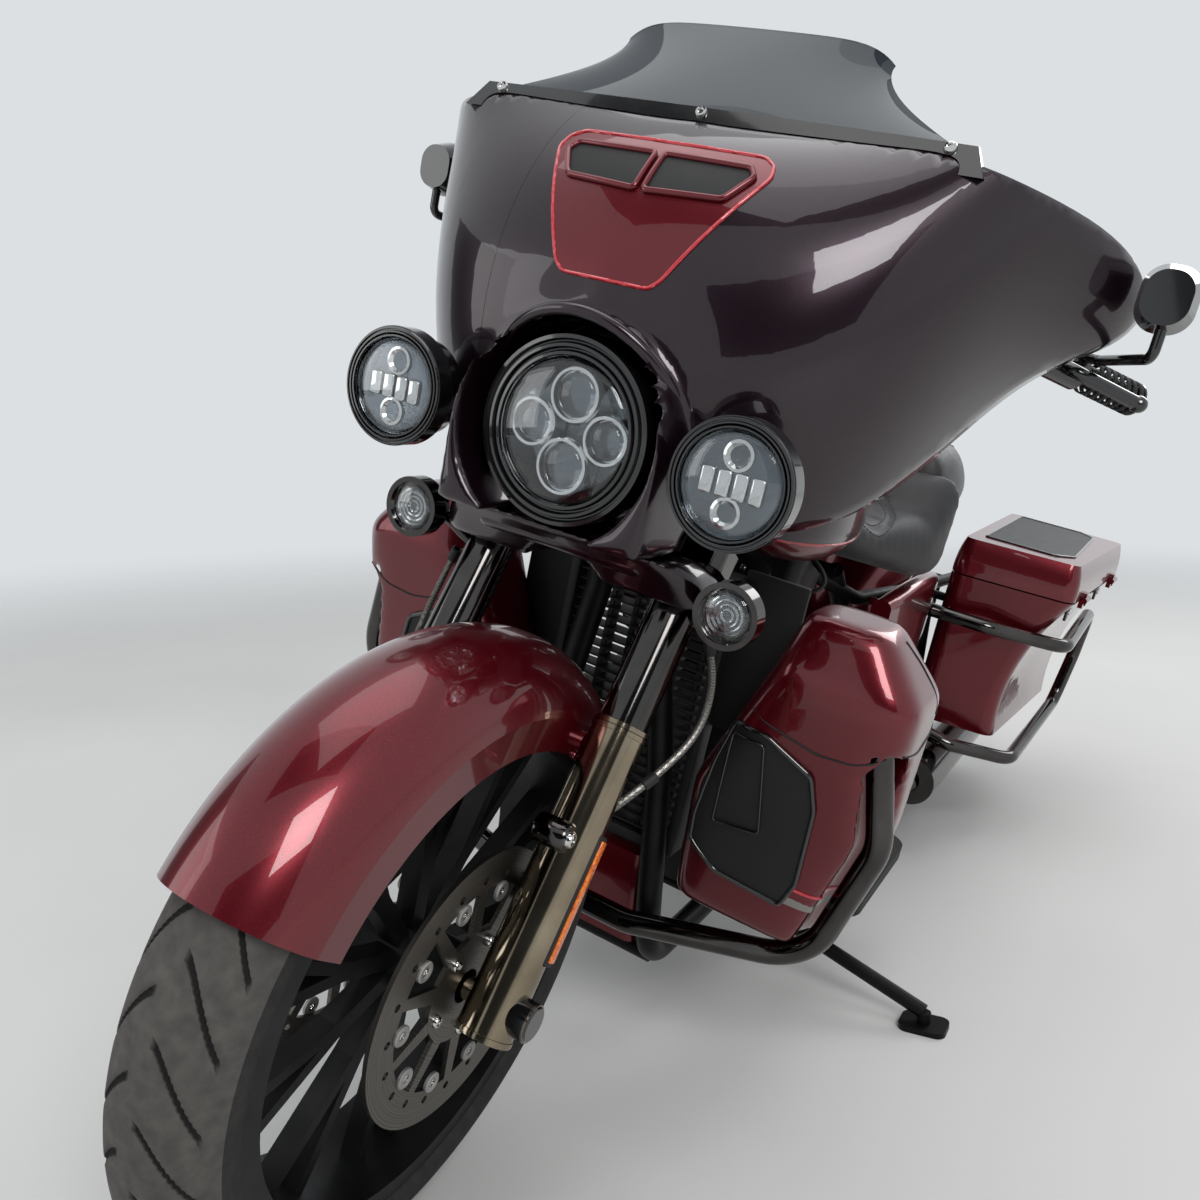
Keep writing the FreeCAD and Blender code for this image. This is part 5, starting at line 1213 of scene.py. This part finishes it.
def press_channels(obj, lines, half_mm, depth_mm):
    """Sews channels into a pad: points near a line sink inwards by a smooth amount."""
    inverse = TO_ROW.inverted()
    mesh = obj.data
    normals = [vert.normal.copy() for vert in mesh.vertices]
    for vert, normal in zip(mesh.vertices, normals):
        spot = inverse @ vert.co
        if normal.z < 0.15:
            continue
        near = min(line(spot) for line in lines)
        if near < half_mm * 3:
            sink = depth_mm * math.exp(-(near / half_mm) ** 2)
            vert.co -= normal * sink / 1000


class CRUISER_OT_seats(bpy.types.Operator):
    """Both seats as stuffed covers with sewn channels and stitching."""

    bl_idname = "cruiser.seats"
    bl_label = "Seats"

    def execute(self, context):
        for name, node, front, back, half, cap in (
            ("rider_cushion", "rider_seat", 690, 430, 128, 9),
            ("pillion_cushion", "pillion_seat", 366, 96, 128, 9),
        ):
            obj = swollen(name, node, cap)
            middle = (front + back) / 2
            reach = (front - back) / 2

            def oval(spot, middle=middle, reach=reach, half=half):
                wide = math.hypot((-spot.y - middle) / reach, spot.x / half)
                return abs(wide - 1) * min(reach, half)

            def cross(spot, middle=middle):
                return abs(-spot.y - middle) if abs(spot.x) < 118 else 99

            press_channels(obj, [oval, cross], 5.0, 5.0)
            smooth = obj.modifiers.new("smooth", "SUBSURF")
            smooth.levels = smooth.render_levels = 1
            apply_modifiers(obj)
            shade_smooth(obj.data)
            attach(obj, BODY_OF[node])
            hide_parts(node)
            skin = skin_of_piece(obj)
            threads = bmesh.new()
            count = 96
            for swell in (0.93, 1.07):
                places = []
                for index in range(count):
                    angle = math.tau * index / count
                    place = landed(skin, at(middle + reach * swell * math.cos(angle),
                                            half * swell * math.sin(angle), 1100), -UP, 0.5)
                    if place is not None:
                        places.append(place)
                stitch(threads, places)
            piece(name + "_stitching", threads, "seam_thread", BODY_OF[node])
        return {"FINISHED"}


def stitch(bm, places):
    """Thread stitches along places: a short tube on every other gap."""
    for first, last in zip(places, places[1:]):
        way = last - first
        if way.length > 40:
            continue
        sweep(bm, [first.lerp(last, 0.15), first.lerp(last, 0.8)], 0.9, sides=1, smooth=False)


class CRUISER_OT_tail(bpy.types.Operator):
    """Tail lamp, blank plate with its holder, and muffler tips."""

    bl_idname = "cruiser.tail"
    bl_label = "Tail"

    def execute(self, context):
        plate, frame_edge, tips, bore_shade, bezel = (bmesh.new() for _ in range(5))
        box(plate, (180, 1.6, 120), Matrix.Translation(at(-394, 0, 428)), 0.7, 2)
        outline = [at(-395, left, up) for left, up in ((-92, 366), (92, 366), (92, 490), (-92, 490))]
        sweep(frame_edge, outline, 2.2, closed=True, sides=3, smooth=False)
        for left in (-70, 70):
            for up in (376, 480):
                bolt(frame_edge, at(-395, left, up), -AHEAD, 5, 3)
        lens, holder = bmesh.new(), bmesh.new()
        box(lens, (118, 70, 74), Matrix.Translation(at(-282, 0, 554)), 12, 5)
        box(holder, (122, 34, 78), Matrix.Translation(at(-234, 0, 554)), 8, 3)
        box(holder, (190, 7, 146), Matrix.Translation(at(-388, 0, 426)), 3, 3)
        box(holder, (60, 130, 8), Matrix.Translation(at(-322, 0, 500)), 3, 2)
        tail = piece("tail_lens", lens, "red_lens", "chassis")
        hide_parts("tail_lamp")
        piece("plate_holder", holder, "gloss_black", "chassis")
        piece("blank_plate", plate, "bare_alloy", "chassis")
        piece("plate_edge", frame_edge, "bright_chrome", "chassis")
        places = [at(-319, 60 * math.cos(a) * 0.92, 554 + 36 * math.sin(a))
                  for a in (math.tau * index / 40 for index in range(40))]
        sweep(bezel, places, 3.2, closed=True, sides=3)
        piece("tail_lamp_edge", bezel, "dark_chrome", "chassis")
        for side in (1, -1):
            turn = frame_on(at(-399, 269 * side, 236), -AHEAD)
            lathe(tips, [(49.5, -46), (50.6, -44), (50.6, 0), (48, 3), (44, 1), (44, -40), (49.5, -46)],
                  turn, 56)
            # a dark disc closing each tip's bore: painted shade inside the pipe
            lathe(bore_shade, [(0, 0.6), (43.8, 0.6), (43.8, -1.5), (0, -1.5)], turn, 48)
        piece("muffler_tips", tips, "dark_chrome", "chassis")
        piece("muffler_bore_shade", bore_shade, "matte_black", "chassis")
        return {"FINISHED"}


class CRUISER_OT_stage(bpy.types.Operator):
    """Pale floor and backdrop, dark cards for the mirrors, soft lamps and the camera."""

    bl_idname = "cruiser.stage"
    bl_label = "Stage"

    def execute(self, context):
        scene = context.scene
        material = bpy.data.materials.new("pale_floor")
        material.use_nodes = True
        tree = material.node_tree
        shader = tree.nodes["Principled BSDF"]
        place = tree.nodes.new("ShaderNodeTexCoord").outputs["Object"]
        mottled = noise(tree, place, 900, 3).outputs["Fac"]
        tree.links.new(ramp(tree, mottled, 0.3, 0.7, linear("#CDCDCB"), linear("#D3D3D1")),
                       shader.inputs["Base Color"])
        shader.inputs["Roughness"].default_value = 0.85
        reach = add_node(tree, "ShaderNodeVectorMath", {0: place}, operation="LENGTH").outputs["Value"]
        fade = add_node(tree, "ShaderNodeMapRange", {"Value": reach, "From Min": 2.6, "From Max": 7.0},
                        interpolation_type="SMOOTHSTEP")
        clear = add_node(tree, "ShaderNodeBsdfTransparent")
        blend = add_node(tree, "ShaderNodeMixShader", {"Fac": fade.outputs[0], 1: shader.outputs[0],
                                                       2: clear.outputs[0]})
        tree.links.new(blend.outputs[0], tree.nodes["Material Output"].inputs["Surface"])
        bm = bmesh.new()
        bmesh.ops.create_grid(bm, x_segments=1, y_segments=1, size=14)
        made_of("floor", bm, material)
        world = bpy.data.worlds.new("studio")
        scene.world = world
        world.use_nodes = True
        tree = world.node_tree
        sky = tree.nodes["Background"]
        sky.inputs["Color"].default_value = linear("#E4E7EA")
        sky.inputs["Strength"].default_value = 0.7
        shown = add_node(tree, "ShaderNodeBackground", {"Color": linear("#DCE0E3"), "Strength": 1.0})
        path = tree.nodes.new("ShaderNodeLightPath").outputs
        seen = calc(tree, "MAXIMUM", path["Is Camera Ray"], path["Is Transmission Ray"])
        seen = calc(tree, "MAXIMUM", seen, path["Is Glossy Ray"])
        mix = add_node(tree, "ShaderNodeMixShader", {"Fac": seen, 1: sky.outputs[0], 2: shown.outputs[0]})
        tree.links.new(mix.outputs[0], tree.nodes["World Output"].inputs["Surface"])
        card_grey = bpy.data.materials.new("card_grey")
        card_grey.use_nodes = True
        card_grey.node_tree.nodes["Principled BSDF"].inputs["Base Color"].default_value = linear("#2E3338")
        # studio cards that only mirrors and gloss see, so that chrome gets dark edges
        for name, place, wide, tall in (
            ("card_front", (3.4, -6.2, 2.6), 7.5, 4.2), ("card_left", (-6.0, -2.6, 2.4), 5.0, 3.6),
            ("card_above", (0.6, -2.4, 6.0), 5.0, 2.2),
        ):
            facing = (Vector((0, -0.4, 0.7)) - Vector(place)).to_track_quat("Z", "Y").to_matrix().to_4x4()
            bm = bmesh.new()
            stand = Matrix.Translation(place) @ facing @ Matrix.Diagonal((wide, tall, 1, 1))
            bmesh.ops.create_grid(bm, x_segments=1, y_segments=1, size=0.5, matrix=stand)
            card = made_of(name, bm, card_grey)
            for rays in ("camera", "diffuse", "shadow", "transmission"):
                setattr(card, "visible_" + rays, False)
        for name, place, aim, power, size in (
            ("key", (3.2, -3.6, 3.6), (0, -0.5, 0.6), 130, 2.0),
            ("fill", (-3.8, -3.4, 2.2), (0, -0.5, 0.7), 40, 2.6),
            ("rim", (1.5, 3.6, 3.0), (0, 0, 0.8), 60, 2.2),
            ("top", (0.2, -0.4, 4.4), (0, -0.3, 0.5), 45, 3.0),
        ):
            light = bpy.data.lights.new(name, "AREA")
            light.energy = power
            light.size = size
            lamp = bpy.data.objects.new(name, light)
            lamp.matrix_world = Matrix.Translation(place) @ (
                Vector(aim) - Vector(place)).to_track_quat("-Z", "Y").to_matrix().to_4x4()
            scene.collection.objects.link(lamp)
        look = Vector((-0.4785, 0.8632, -0.1607)).normalized()
        across = Vector((0.8746, 0.4848, 0.0)).normalized()
        rise = across.cross(look)
        roll = math.radians(-0.79)
        right = across * math.cos(roll) + rise * math.sin(roll)
        above = rise * math.cos(roll) - across * math.sin(roll)
        data = bpy.data.cameras.new("camera")
        data.lens = 32.88
        data.sensor_width = 36
        data.sensor_height = 36
        data.clip_start = 0.05
        camera = bpy.data.objects.new("camera", data)
        camera.matrix_world = Matrix.Translation((0.585, -1.693, 0.884)) @ Matrix(
            (right, above, -look)).transposed().to_4x4()
        scene.collection.objects.link(camera)
        scene.camera = camera
        scene.view_settings.view_transform = "Standard"
        return {"FINISHED"}


OPERATORS = (
    CRUISER_OT_finishes, CRUISER_OT_fairing, CRUISER_OT_lamps, CRUISER_OT_fork, CRUISER_OT_wheels,
    CRUISER_OT_bodywork, CRUISER_OT_engine, CRUISER_OT_controls, CRUISER_OT_seats, CRUISER_OT_tail,
    CRUISER_OT_stage,
)


class CRUISER_PT_panel(bpy.types.Panel):
    """Lists the looks and the steps that dress the machine."""

    bl_idname = "CRUISER_PT_panel"
    bl_label = "Touring cruiser"
    bl_space_type = "VIEW_3D"
    bl_region_type = "UI"
    bl_category = "Cruiser"

    def draw(self, context):
        own = context.scene.cruiser_looks
        for name in ("cherry", "deep", "pinstripe", "stripe_width", "seat_swell"):
            self.layout.prop(own, name)
        for step in OPERATORS:
            self.layout.operator(step.bl_idname)


CLASSES = (CruiserLooks, *OPERATORS, CRUISER_PT_panel)


def register():
    """Adds the classes and the scene's looks."""
    for item in CLASSES:
        bpy.utils.register_class(item)
    bpy.types.Scene.cruiser_looks = PointerProperty(type=CruiserLooks)


def unregister():
    """Takes the classes and the looks away."""
    del bpy.types.Scene.cruiser_looks
    for item in reversed(CLASSES):
        bpy.utils.unregister_class(item)


def main():
    """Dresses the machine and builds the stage."""
    register()
    for step in OPERATORS:
        area, action = step.bl_idname.split(".")
        getattr(getattr(bpy.ops, area), action)()


if __name__ == "__main__":
    main()
